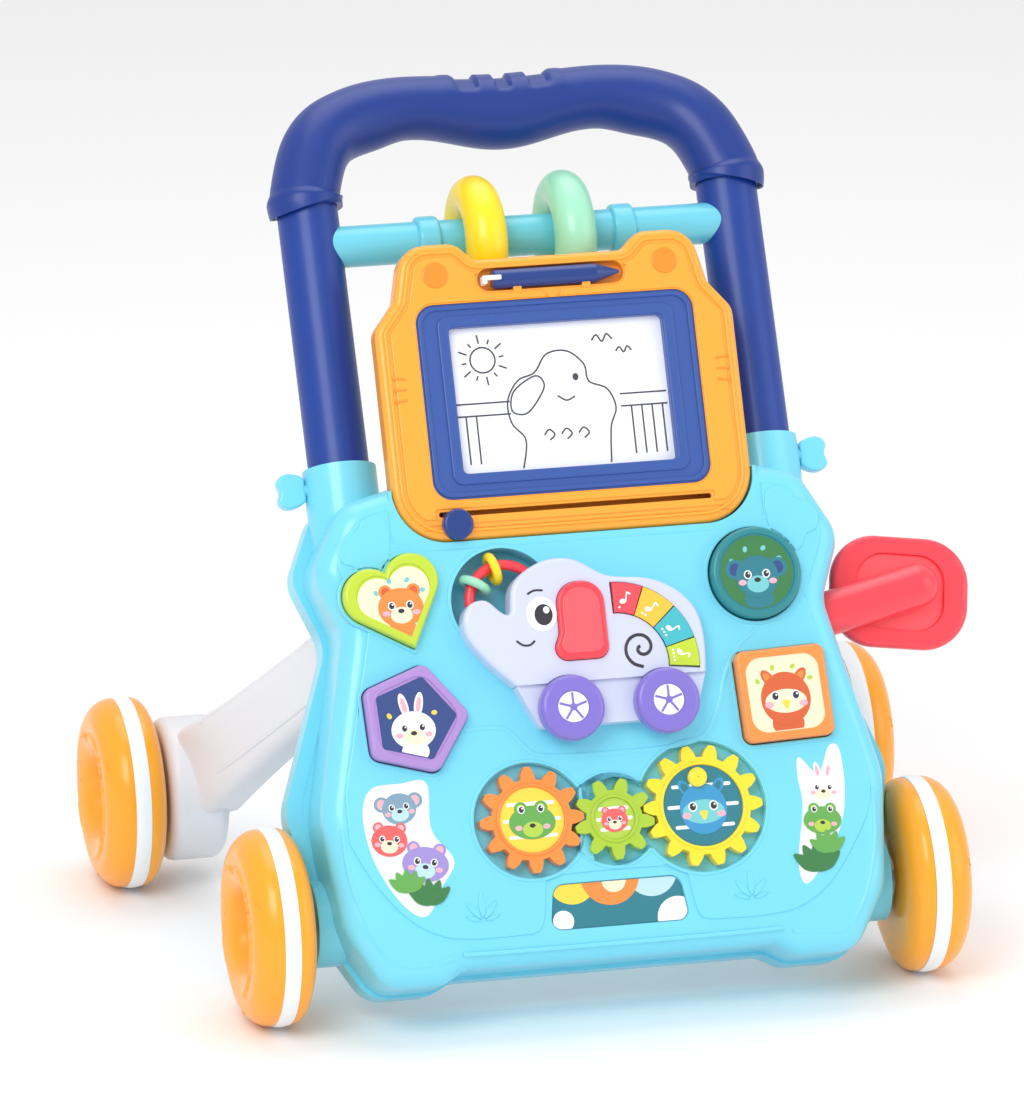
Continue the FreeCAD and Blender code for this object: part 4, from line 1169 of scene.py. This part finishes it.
@dataclass
class PanelRelief:
    """Raised fields, lips and ridges on the play panel's face, in the face's millimetres."""

    rise: float = 1.0
    seam: float = -44.0
    outline: tuple[tuple[float, float, float], ...] = (
        (90, -12.5, 12), (102, -20, 18), (136, -20, 18), (157, 15, 40), (163, 78, 60),
        (139.5, 180, 25), (153, 216, 22), (133, 253, 20), (98, 262, 20))
    back: tuple[tuple[float, float, float], ...] = (
        (90, -14.7, 10), (103, -21.5, 16), (138, -21.5, 18), (163, 20, 40), (175, 88, 30),
        (142, 178, 25), (158, 218, 20), (140, 258, 18))
    wells: tuple[tuple[float, float, float], ...] = (
        (98.0, 195.5, 26.6), (-48.0, 191.0, 30.0), (-46.0, 66.5, 32.1), (*MIDDLE_GEAR, 25.4),
        (52.8, 66.8, 36.6))

    def loops(self) -> tuple[Loop, list[Loop]]:
        """Draws the raised field.

        Returns:
            Its outline, and the openings that it goes round.
        """
        low = [(-150, 62), (-139, 40), (-122, 18), (-104, 6.5), (-86, 3.2), (-62, 3), (-48, 4.5),
               (-43.5, 14), (-41, 30), (-36, 34.5), (0, 35.5), (36, 34.5), (40.5, 30), (43, 14),
               (47, 4.5), (62, 3), (86, 3.2), (104, 6.5), (122, 18), (139, 40), (150, 62)]
        high = [(149.5, 90), (128.5, 172), (127.5, 184), (139, 214), (137, 226), (126, 241),
                (108, 247)]
        across = [(108, 229), (90, 222), (-90, 222), (-108, 229)]
        field_edge = smooth(low + high, closed=False, steps=6) + across
        field_edge += [(-x, y) for x, y in reversed(smooth(high, closed=False, steps=6))]
        openings = [circle(x, y, radius + 0.5, 96) for x, y, radius in self.wells]
        openings += [heart(1.2), pentagon(1.3), square(1.3)]
        return field_edge, openings

    def make(self) -> None:
        """Builds the relief as one piece on the panel."""
        draft = Draft("panel_relief", "frame", "panel_plastic")
        edge, openings = self.loops()
        draft.plate(PANEL, edge, PANEL_BLUE, self.rise, -0.4, 0.7, openings)
        self.lips(draft)
        self.ridges(draft)
        self.seam_shelf(draft)
        self.grass(draft)
        draft.build()

    def lips(self, draft: Draft) -> None:
        """Adds a raised lip round each pocket of the panel.

        Args:
            draft: piece that takes the relief.
        """
        nest = box(-104.8, 104.8, 223.0, 300.0, 30.0)
        for loop in (heart(2.4), pentagon(2.6), square(2.6), circle(98, 195.5, 28.8, 96),
                     circle(-48, 191, 31.8, 96)):
            draft.plate(PANEL, loop, PANEL_BLUE, self.rise + 0.8, 0.2, 0.5,
                        [offset(loop, 2.0), nest])
        gear_edge = [circle(x, y, radius + 0.4, 96) for x, y, radius in self.wells[2:]]
        for x, y, radius in self.wells[2:]:
            draft.plate(PANEL, circle(x, y, radius + 2.3, 96), PANEL_BLUE, self.rise + 0.6, 0.2,
                        0.5, gear_edge)

    def ridges(self, draft: Draft) -> None:
        """Adds the long ridges and the shoulders' patches.

        Args:
            draft: piece that takes the relief.
        """
        ridge = smooth([(-78, 120), (-66, 120.5), (-55, 119), (-47, 111), (-40, 104), (-30, 102),
                        (-20, 101.5), (0, 101), (30, 101.5), (48, 103), (60, 108), (69, 122),
                        (75, 140), (84, 155), (95, 164)], closed=False, steps=6)
        draft.bead(PANEL.moved(0, 0, self.rise), ridge, PANEL_BLUE, 2.6, 0.55)
        for side in (-1, 1):
            cloud = smooth([(side * x, y) for x, y in
                            ((112, 206), (119, 204), (127, 209), (131, 216), (137, 219),
                             (139, 227), (134, 234), (127, 237), (122, 243), (113, 244),
                             (109, 236), (110, 220))])
            draft.plate(PANEL.moved(0, 0, self.rise), cloud if side > 0 else cloud[::-1],
                        PANEL_BLUE, 0.8, -0.4, 0.6)
            band = smooth([(side * x, y) for x, y in
                           ((98, -7), (112, -9), (130, -7), (143, 12), (151, 40), (153, 70))],
                          closed=False)
            draft.bead(PANEL.moved(0, 0, -1.2), band, PANEL_BLUE, 3.0, 1.4, base=-2.0)
        low_step = smooth([(-92, -5), (-60, -5.5), (0, -5.6), (60, -5.5), (92, -5)], closed=False)
        draft.bead(PANEL.moved(0, 0, -0.6), low_step, PANEL_BLUE, 2.4, 1.0, base=-2.0)

    def seam_shelf(self, draft: Draft) -> None:
        """Adds the back shell's rim along the seam, which closes the step to the front shell.

        Args:
            draft: piece that takes the relief.
        """
        sides, front = (offset(rounded([*half, *((-x, y, r) for x, y, r in reversed(half))], 12), 1.2)
                        for half in (self.back, self.outline))
        draft.plate(PANEL.moved(0, 0, self.seam), sides, PANEL_BLUE, -0.4, -2.6, 0.3, [front])

    def grass(self, draft: Draft) -> None:
        """Adds raised tufts of grass beside the window.

        Args:
            draft: piece that takes the relief.
        """
        blade = smooth([(0, 2), (1.9, 8), (0.9, 15), (0, 16.5), (-0.9, 15), (-1.9, 8)])
        for x, y in ((-79, 12.5), (76, 12.5)):
            for turn, size in ((-72, 0.62), (-38, 0.85), (0, 1.0), (38, 0.85), (72, 0.62)):
                draft.plate(PANEL.moved(0, 0, self.rise), shifted(blade, x, y, turn, size),
                            PANEL_BLUE, 0.7, -0.4, 0.4)


def heart(extra: float = 0.0, size: float = 1.0) -> Loop:
    """Draws the heart block in the panel's face.

    Args:
        extra: how far the outline lies outside the block's own.
        size: scale about its middle.

    Returns:
        The outline, anticlockwise.
    """
    lobe_x, lobe_y, radius, tip = 12.5, 13.3, 15.5 + extra, -22.5 - 1.45 * extra
    touch = math.atan2(tip - lobe_y, -lobe_x) + math.acos(radius / math.hypot(tip - lobe_y, lobe_x))
    notch = math.pi - math.acos(lobe_x / radius)
    arcs = [touch + (notch - touch) * step / 24 for step in range(25)]
    right = [(lobe_x + radius * math.cos(a), lobe_y + radius * math.sin(a)) for a in arcs]
    loop = [(0.0, tip)] + right + [(-x, y) for x, y in reversed(right[:-1])]
    return shifted(loop, -108.5, 189.3, 17.0, size)


def pentagon(extra: float = 0.0, size: float = 1.0) -> Loop:
    """Draws the pentagon block in the panel's face.

    Args:
        extra: how far the outline lies outside the block's own.
        size: scale about its middle.

    Returns:
        The outline, anticlockwise.
    """
    far = 32.5 + extra / math.cos(math.radians(36))
    angles = [math.radians(72 * corner) for corner in range(5)]
    corners = [(far * math.cos(angle), far * math.sin(angle), 6 + extra) for angle in angles]
    return shifted(rounded(corners), -107.5, 127.5, 2.0, size)


def square(extra: float = 0.0, size: float = 1.0) -> Loop:
    """Outline of the square block in the panel's face."""
    half = 26 + extra
    return shifted(box(-half, half, -half, half, 5 + extra), 106.6, 126.1, 2.0, size)


@dataclass
class DrawingBoard:
    """Raised rims, whisker marks and the line drawing of the drawing board, in mm."""

    half: float = 104.0
    screen_level: float = -5.95

    def outline(self, inset: float) -> Loop:
        """Draws the board.

        Args:
            inset: how far the outline lies inside the board's own.

        Returns:
            The outline, anticlockwise.
        """
        side, low, top = self.half, 227.0, 386.0
        half = [(side, low, 30), (side, top - 37, 12), (side - 13, top - 21, 5),
                (side - 20, top + 10, 17), (side - 51, top + 10, 12), (side - 61, top, 8)]
        return offset(rounded(half + [(-x, y, r) for x, y, r in reversed(half)], 10), inset)

    def make(self) -> None:
        """Builds the board's relief and its drawing."""
        relief = Draft("board_relief", "drawing_board", "board_plastic")
        slot = [box(-80.8, 80.8, 239.2, 245.0, 1.4), box(-81.2, 81.2, 249.3, 362.0, 11.3),
                box(-43.5, 43.5, 366.0, 381.0, 7.0), circle(0, 367, 5.5)]
        relief.plate(PANEL, self.outline(8.2), BOARD_ORANGE, 0.9, -0.4, 0.6,
                     slot + [box(-92, 92, 228, 239.4, 5.0)])
        relief.plate(PANEL, self.outline(4.4), BOARD_ORANGE, 1.1, -0.4, 0.6, [self.outline(6.2)])
        for side in (-1, 1):
            relief.plate(PANEL, circle(side * 66.5, 377.8, 7.4), BOARD_DEEP, 1.5, 0, 0.7)
            for y in (320.0, 314.0, 308.0):
                mark = [(side * 90.0, y), (side * 97.0, y + (y - 314) * 0.15)]
                relief.bead(PANEL.moved(0, 0, 0.9), mark, BOARD_DEEP, 1.5, 0.4)
            relief.plate(PANEL, box(side * 20 - 2.4, side * 20 + 2.4, 365.0, 369.2, 1.0),
                         BOARD_ORANGE, 1.6, -5.0, 0.5)
        for y in (233.6, 236.2):
            relief.bead(PANEL, [(-88.0, y), (88.0, y)], BOARD_DEEP, 0.8, 0.35)
        relief.build()
        self.bezel()
        self.drawing()

    def bezel(self) -> None:
        """Sloping step inside the screen's frame, and a thin raised line round it."""
        draft = Draft("bezel_step", "drawing_board", "bezel_plastic")
        outer, inner = box(-68.5, 68.5, 258, 354, 6), box(-62.2, 62.2, 264.0, 348.0, 3.2)
        draft.plate(PANEL, outer, BEZEL_BLUE, 0.5, -1.0, 0.9, [inner])
        draft.plate(PANEL, box(-79.4, 79.4, 251.2, 360.2, 10), BEZEL_BLUE, 0.5, -1.0, 0.6,
                    [box(-76.8, 76.8, 253.8, 357.6, 8.4)])
        draft.build()

    def drawing(self) -> None:
        """A child's line drawing: sun, two birds, a fence and a resting lamb."""
        draft = Draft("screen_drawing", "drawing_board", "screen_film")
        plane = PANEL.moved(0, 0, self.screen_level)
        strokes = [(circle(-43, 329, 7.2), True)]
        for ray in range(12):
            angle = math.radians(30 * ray + 8)
            ends = (9.6, 14.6) if ray % 2 else (9.6, 12.4)
            strokes.append(([(-43 + r * math.cos(angle), 329 + r * math.sin(angle))
                             for r in ends], False))
        for x, y, size in ((27, 336, 6.0), (39, 329, 4.6)):
            wings = smooth([(x - size, y), (x - 0.5 * size, y + 0.5 * size), (x, y - 0.15 * size),
                            (x + 0.5 * size, y + 0.55 * size), (x + size, y)], closed=False)
            strokes.append((wings, False))
        for y in (304.5, 297.5):
            strokes += [([(-61, y), (-30, y)], False), ([(34, y), (61, y)], False)]
        for x in (-56, -50, 40, 46, 52, 58):
            strokes.append(([(x, 297), (x, 270)], False))
        lamb = smooth([(-26, 266), (-23, 282), (-30, 292), (-31, 305), (-24, 316), (-14, 320),
                       (-6, 330), (6, 331), (15, 323), (17, 313), (27, 308), (31, 297), (27, 286),
                       (25, 266)], closed=False)
        strokes.append((lamb, False))
        ear = smooth([(-14, 318), (-27, 310), (-29, 299), (-21, 297), (-13, 305), (-9, 313)])
        strokes.append((ear, True))
        strokes.append((smooth([(-2, 306), (3, 303), (8, 305)], closed=False), False))
        for x in (-12, -2, 8):
            curl = smooth([(x, 284), (x + 3, 287), (x + 6, 284), (x + 3, 281)], closed=False)
            strokes.append((curl, False))
        for path, closed in strokes:
            draft.bead(plane, path, INK, 0.95, 0.12, closed, base=0.02)
        draft.plate(plane, ellipse(9.5, 316, 1.7, 2.1), INK, 0.16, 0.02, 0.03)
        draft.build()


@dataclass
class Blocks:
    """Printed pictures in the four shape blocks, each in a shallow recess."""

    recess: float = 0.8

    def make(self) -> None:
        """Builds the four pictures, each at the bottom of its block's shallow recess."""
        pictures = (
            ("heart", heart(0.0, 0.76), P_CREAM, CAT, (-108.2, 190.5), 13.0, P_AQUA),
            ("pentagon", pentagon(-3.0, 0.86), P_NAVY, RABBIT, (-108.5, 121.5), 12.6, P_YELLOW),
            ("round", circle(98, 195.5, 20.9), P_DARKGREEN, KOALA, (98.0, 193.0), 13.4, P_AQUA),
            ("square", square(-3.0, 0.93), P_CREAM, OWL, (106.6, 123.0), 15.0, P_LIME))
        for name, edge, ground, animal, (x, y), size, accent in pictures:
            node = f"{name}_block"
            draft = Draft(f"{name}_picture", node, "printed_foil")
            plane = PANEL.moved(0, 0, top_of(node) - self.recess)
            layer(draft, plane, edge, ground, 0)
            for spot in range(4):
                angle = math.radians(35 + 37 * spot)
                layer(draft, plane, ellipse(x + 1.55 * size * math.cos(angle) * 0.8,
                                            y + 1.25 * size * math.sin(angle), 1.7, 1.3,
                                            40 * spot), accent, 1)
            body = ellipse(x, y - 0.95 * size, 0.62 * size, 0.5 * size)
            layer(draft, plane, clip(body, offset(convex(edge), 0.6)), animal.coat, 1)
            animal.draw(draft, plane, x, y, size)
            draft.build()


@dataclass
class Gears:
    """Printed discs, rims and the finger bump of the play gears."""

    discs: tuple[tuple[str, float, float, float, Finish, AnimalFace, Finish], ...] = (
        ("left", -46.0, 66.5, 18.4, P_YELLOW, FROG, GEAR_ORANGE),
        ("middle", *MIDDLE_GEAR, 11.65, P_LIME, BEAR, GEAR_GREEN),
        ("right", 52.8, 66.8, 22.9, P_TEAL, BIRD, GEAR_YELLOW))
    recess: float = 0.6

    def make(self) -> None:
        """Builds a picture and a rim line for each gear."""
        for name, x, y, radius, ground, animal, plastic in self.discs:
            node = f"gear_{name}"
            plane = PANEL.moved(0, 0, top_of(node))
            draft = Draft(f"{node}_picture", node, "printed_foil")
            sunk = plane.moved(0, 0, -self.recess)
            layer(draft, sunk, circle(x, y, radius, 64), ground, 0)
            for shift in (-0.5, 0.0, 0.5):
                wide = math.sqrt(0.81 - shift * shift) * radius
                layer(draft, sunk, box(x - wide, x + wide, y + shift * radius - 1.0,
                                       y + shift * radius + 1.0, 0.9), P_WHITE, 1)
            animal.draw(draft, sunk, x, y - 0.08 * radius, 0.66 * radius, level=3)
            draft.build()
            rim = Draft(f"{node}_rim", node, plastic.name.replace("gear_", "") + "_plastic")
            rim.plate(plane, circle(x, y, radius + 1.9, 72), plastic, 0.8, -0.3, 0.4,
                      [circle(x, y, radius + 0.2, 72)])
            if name == "right":
                bump = [(5.4, -0.3), (5.4, 2.4), (4.4, 3.4), (2.6, 3.9), (0.3, 4.1), (0.3, -0.3)]
                rim.lathe(plane.moved(x - 2, y + 16), bump, plastic, 40)
            rim.build()


@dataclass
class Elephant:
    """Face, spiral, key signs, ear field and hub discs of the toy elephant."""

    spokes: int = 5
    fan: tuple[float, float, float] = (11.3, 148.8, 37.5)
    key_angles: tuple[tuple[str, float], ...] = (
        ("key_red", 78.5), ("key_yellow", 54.0), ("key_teal", 28.0), ("key_lime", 4.5))
    wheel_row: float = 126.0

    def make(self) -> None:
        """Builds the marks on the body, the keys, the ear and the two wheels."""
        self.face()
        for count, (name, angle) in enumerate(self.key_angles):
            out = math.radians(angle)
            x, y, reach = self.fan
            place = PANEL.moved(x + reach * math.cos(out), y + reach * math.sin(out),
                                top_of(name), angle - 90)
            sign = Draft(name + "_sign", name, "printed_foil")
            self.note(sign, place, count)
            sign.build()
        ear = Draft("ear_field", "elephant_ear", "red_plastic")
        edge = rounded([(-24, 156.5, 5), (3, 156.5, 5), (3, 193.4, 10), (-18, 193.4, 10),
                        (-18.4, 168, 5)])
        ear.plate(PANEL.moved(0, 0, top_of("elephant_ear")), edge, RED_LIGHT, 0.5, -0.3, 0.45)
        ear.build()
        for name, x in (("elephant_wheel_fore", -19.0), ("elephant_wheel_hind", 36.0)):
            self.hub(name, PANEL.moved(x, self.wheel_row, top_of(name) - 0.8))

    def face(self) -> None:
        """Builds the eye, the smile, the brow and the spiral."""
        face = Draft("elephant_face", "elephant", "elephant_plastic")
        plane = PANEL.moved(0, 0, top_of("elephant_upper"))
        face.plate(plane, ellipse(-30, 180, 8.8, 9.8, steps=48), P_WHITE, 0.35, -0.3, 0.2)
        face.plate(plane, ellipse(-29, 179.6, 5.2, 6.0, steps=40), P_BLACK, 0.5, 0, 0.1)
        face.plate(plane, ellipse(-27.2, 182.2, 1.8, 2.0), P_WHITE, 0.6, 0, 0.1)
        smile = smooth([(-46, 166), (-42.5, 163.4), (-38.5, 163.2), (-35.5, 165.4)], closed=False)
        face.bead(plane, smile, P_BLACK, 1.3, 0.35)
        face.bead(plane, smooth([(-37, 191.8), (-33, 193.6), (-28, 193.4)], closed=False),
                  P_BLACK, 1.3, 0.35)
        spiral = [(25 + (0.9 + 0.62 * t) * math.cos(0.55 * t + 2.2),
                   157 + (0.9 + 0.62 * t) * math.sin(0.55 * t + 2.2)) for t in range(17)]
        face.bead(plane, smooth(spiral, closed=False, steps=4), P_BLACK, 2.0, 0.35)
        face.build()

    def hub(self, name: str, plane: Plane) -> None:
        """Builds the white disc and the spokes of one toy wheel.

        Args:
            name: the wheel's CAD node and body.
            plane: the bottom of its recess, with the wheel's axle in the middle.
        """
        disc = Draft(name + "_disc", name, "white_plastic")
        disc.plate(plane, circle(0, 0, 8.8), P_WHITE, 0.4, -0.3, 0.25)
        disc.plate(plane, circle(0, 0, 2.0), PURPLE, 1.1, 0, 0.4)
        disc.build()
        spoke = Draft(name + "_spokes", name, "purple_plastic")
        spoke.bead(DRAWING, [(-3.2, 0), (3.3, 0)], PURPLE, 1.4, 0.4, base=0.0)
        RINGS.around(spoke, plane.moved(0, 0, 0.38), self.spokes, 4.8, 18.0)

    def note(self, draft: Draft, plane: Plane, count: int) -> None:
        """Adds a plain musical note over a row of dots.

        Args:
            draft: piece that takes it.
            plane: the key's face.
            count: number of the key, which has one dot more.
        """
        draft.plate(plane, ellipse(-1.4, -2.2, 1.9, 1.4, 20), P_WHITE, 0.25, -0.1, 0.08)
        draft.bead(plane, [(0.3, -2.0), (0.3, 3.4)], P_WHITE, 0.8, 0.25)
        draft.bead(plane, [(0.3, 3.4), (2.6, 2.4)], P_WHITE, 1.0, 0.25)
        for dot in range(count + 1):
            draft.plate(plane, circle(-3 + 2.0 * dot, -5.8, 0.65, 16), P_WHITE, 0.25, -0.1, 0.08)


@dataclass
class Stickers:
    """Printed films on the panel: two corner groups and the window's label."""

    level: float = 1.0

    def make(self) -> None:
        """Builds the printed patches over the films."""
        self.corners()
        self.window()

    def corners(self) -> None:
        """Builds the animals and leaves of both lower corners."""
        draft = Draft("corner_pictures", "frame", "printed_foil")
        plane = PANEL.moved(0, 0, self.level)
        left = smooth([(-141, 76), (-135, 91), (-118, 93), (-103, 92), (-103, 66), (-92, 48),
                       (-100, 34), (-111, 18), (-124, 26), (-137, 50)])
        right = smooth([(112, 90), (122, 80), (130, 95), (136, 92), (136, 66), (129, 44),
                        (110, 19), (105, 30), (111, 62), (110, 80)])
        for loop in (left, right):
            layer(draft, plane, loop, P_WHITE, 0)
        MOUSE.draw(draft, plane, -120, 79, 10.4, 4)
        BEAR.draw(draft, plane, -127.5, 61.5, 10.2, -6, 8)
        HIPPO.draw(draft, plane, -108.5, 47, 12.0, -10, 14)
        leaf_tuft(draft, plane, -108, 24, 15, P_DARKGREEN, 20)
        leaf_tuft(draft, plane, -120, 32, 13, P_GREEN, 24)
        RABBIT.draw(draft, plane, 124, 71, 9.2, -4)
        FROG.draw(draft, plane, 121.5, 53.5, 10.0, -4, 8)
        leaf_tuft(draft, plane, 116, 25, 17, P_DARKGREEN, 14)
        leaf_tuft(draft, plane, 123, 35, 13, P_GREEN, 18)
        draft.build("corner_stickers")

    def window(self) -> None:
        """Builds the coloured discs of the window's label."""
        label = Draft("window_picture", "frame", "printed_foil")
        plane = PANEL.moved(0, 0, top_of("window_label"))
        window = rounded([(-40.4, 4.6, 5.5), (39.4, 4.6, 5.5), (35.4, 29.4, 6.5), (-36.4, 29.4, 6.5)])
        layer(label, plane, window, P_TEAL, 0)
        spots = ((-26, 32, 14, P_YELLOW), (20, 34, 15, P_SKY), (-4, 33, 17, P_ORANGE),
                 (33, 6, 12, P_WHITE), (-33, 9, 6, P_WHITE), (-2, 30, 7, P_CREAM))
        for order, (x, y, radius, finish) in enumerate(spots):
            layer(label, plane, clip(circle(x, y, radius, 64), window), finish, 1 + order)
        label.build()


@dataclass
class RearArms:
    """Two long ridges on the outer face of each rear arm."""

    top: tuple[float, float, float] = (113.0, 181.0, -68.0)
    drum_side: float = 0.1805
    drops: tuple[float, float] = (0.014, -0.017)
    stretch: tuple[float, float] = (0.16, 0.72)
    steps: int = 29

    def make(self) -> None:
        """Lays the ridges on the arms' surfaces."""
        for side, hand in ((-1, "left"), (1, "right")):
            node = frame["nodes"][f"rear_arm_{hand}"].data
            surface = BVHTree.FromPolygons([v.co for v in node.vertices],
                                           [tuple(p.vertices) for p in node.polygons])
            hub = Vector(JOINTS[f"rear_{hand}_wheel_roll"]["pos_m"])
            start = PANEL.at(side * self.top[0], *self.top[1:])
            end = Vector((side * self.drum_side, hub.y, hub.z))
            drop = (end - start).normalized().cross(Vector((side, 0, 0))).normalized() * side
            draft = Draft(f"rear_arm_ridges_{hand}", "frame", "arm_plastic")
            for rise in self.drops:
                hits = []
                for step in range(self.steps + 1):
                    low, high = self.stretch
                    place = start.lerp(end, low + (high - low) * step / self.steps) + drop * rise
                    place.x = side * 0.4
                    spot, normal, _, _ = surface.ray_cast(place, Vector((-side, 0, 0)))
                    if spot is not None:
                        hits.append((spot, normal))
                if len(hits) > 4:
                    draft.ridge(hits, ARM_GREY, 3.0, 0.9)
            if draft.points:
                draft.build()


@dataclass
class Paddle:
    """Sunk field of the red side paddle, in millimetres from its hinge."""

    reach: float = 54.0
    depth: float = 8.5
    lean: float = -20.6
    half_size: tuple[float, float, float] = (25.6, 21.6, 15.6)

    def make(self) -> None:
        """Builds the field at the bottom of the paddle's recess."""
        hinge = JOINTS["paddle_turn"]
        root, along = Vector(hinge["pos_m"]), Vector(hinge["axis"]).normalized()
        up = PANEL.out.cross(along)
        plane = Plane(root, along, up).moved(self.reach, 0, -self.depth, self.lean)
        wide, high, corner = self.half_size
        draft = Draft("paddle_field", "paddle", "red_plastic")
        draft.plate(plane, box(-wide, wide, -high, high, corner), RED_LIGHT, 0.3, -0.2, 0.2)
        draft.build()


@dataclass
class Studio:
    """Pale floor, soft lights and the camera."""

    azimuth: float = -14.3
    elevation: float = 17.0
    view_height: float = 0.6292
    lens: float = 300.0
    centre: tuple[float, float] = (-0.04784, 0.1919)
    sky: float = 0.78
    floor_half: float = 6.0

    def make(self) -> None:
        """Builds the whole set."""
        scene = bpy.context.scene
        world = bpy.data.worlds.new("studio_world")
        world.use_nodes = True
        sky = world.node_tree.nodes["Background"]
        sky.inputs["Color"].default_value = (1.0, 1.0, 1.0, 1.0)
        sky.inputs["Strength"].default_value = self.sky
        scene.world = world
        scene.view_settings.view_transform = "Standard"
        mesh, size = bpy.data.meshes.new("floor"), self.floor_half
        mesh.from_pydata([(-size, -size, 0), (size, -size, 0), (size, size, 0), (-size, size, 0)],
                         [], [(0, 1, 2, 3)])
        mesh.materials.append(SHOP.material(Finish("studio_floor", (250, 250, 251), Surface.FLOOR)))
        floor = bpy.data.objects.new("floor", mesh)
        scene.collection.objects.link(floor)
        for name, place, aim, size, power in (
                ("key", (-1.2, -1.6, 1.9), (0, 0, 0.2), 1.3, 26.0),
                ("fill", (1.8, -1.2, 1.0), (0, 0, 0.2), 1.6, 9.0),
                ("top", (0.1, 0.6, 2.2), (0, 0, 0.1), 1.6, 12.0)):
            self.lamp(name, Vector(place), Vector(aim), size, power)
        self.camera()

    def lamp(self, name: str, place: Vector, aim: Vector, size: float, power: float) -> None:
        """Hangs a square soft light.

        Args:
            name: what it is called.
            place: where it hangs.
            aim: where it points.
            size: its side in metres.
            power: its power in watts.
        """
        light = bpy.data.lights.new(name, "AREA")
        light.energy, light.size = power, size
        lamp = bpy.data.objects.new(name, light)
        lamp.location = place
        lamp.rotation_mode = "QUATERNION"
        lamp.rotation_quaternion = (aim - place).to_track_quat("-Z", "Y")
        bpy.context.scene.collection.objects.link(lamp)

    def camera(self) -> None:
        """Sets up the long-lens camera at the product view's angle."""
        turn, rise = math.radians(self.azimuth), math.radians(self.elevation)
        back = Vector((math.sin(turn) * math.cos(rise), -math.cos(turn) * math.cos(rise),
                       math.sin(rise)))
        right = Vector((math.cos(turn), math.sin(turn), 0))
        up = back.cross(right)
        hubs = [Vector(JOINTS[f"front_{hand}_wheel_roll"]["pos_m"]) for hand in ("left", "right")]
        aim = (hubs[0] + hubs[1]) / 2 + right * self.centre[0] + up * self.centre[1]
        data = bpy.data.cameras.new("product_view")
        data.lens, data.sensor_width = self.lens, 36.0
        data.clip_end = 100.0
        camera = bpy.data.objects.new("product_view", data)
        camera.location = aim + back * (self.lens / 36.0 * self.view_height)
        camera.rotation_mode = "QUATERNION"
        camera.rotation_quaternion = (-back).to_track_quat("-Z", "Y")
        bpy.context.scene.collection.objects.link(camera)
        bpy.context.scene.camera = camera


def main() -> None:
    """Builds the sub-assemblies in order."""
    logging.basicConfig(level=logging.INFO, format="%(name)s %(message)s")
    CadFinishes().dress()
    for part in (Wheels(), Grip(), PanelRelief(), DrawingBoard(), Blocks(), Gears(), Elephant(),
                 Stickers(), RearArms(), Paddle(), Studio()):
        part.make()


if __name__ == "__main__":
    main()
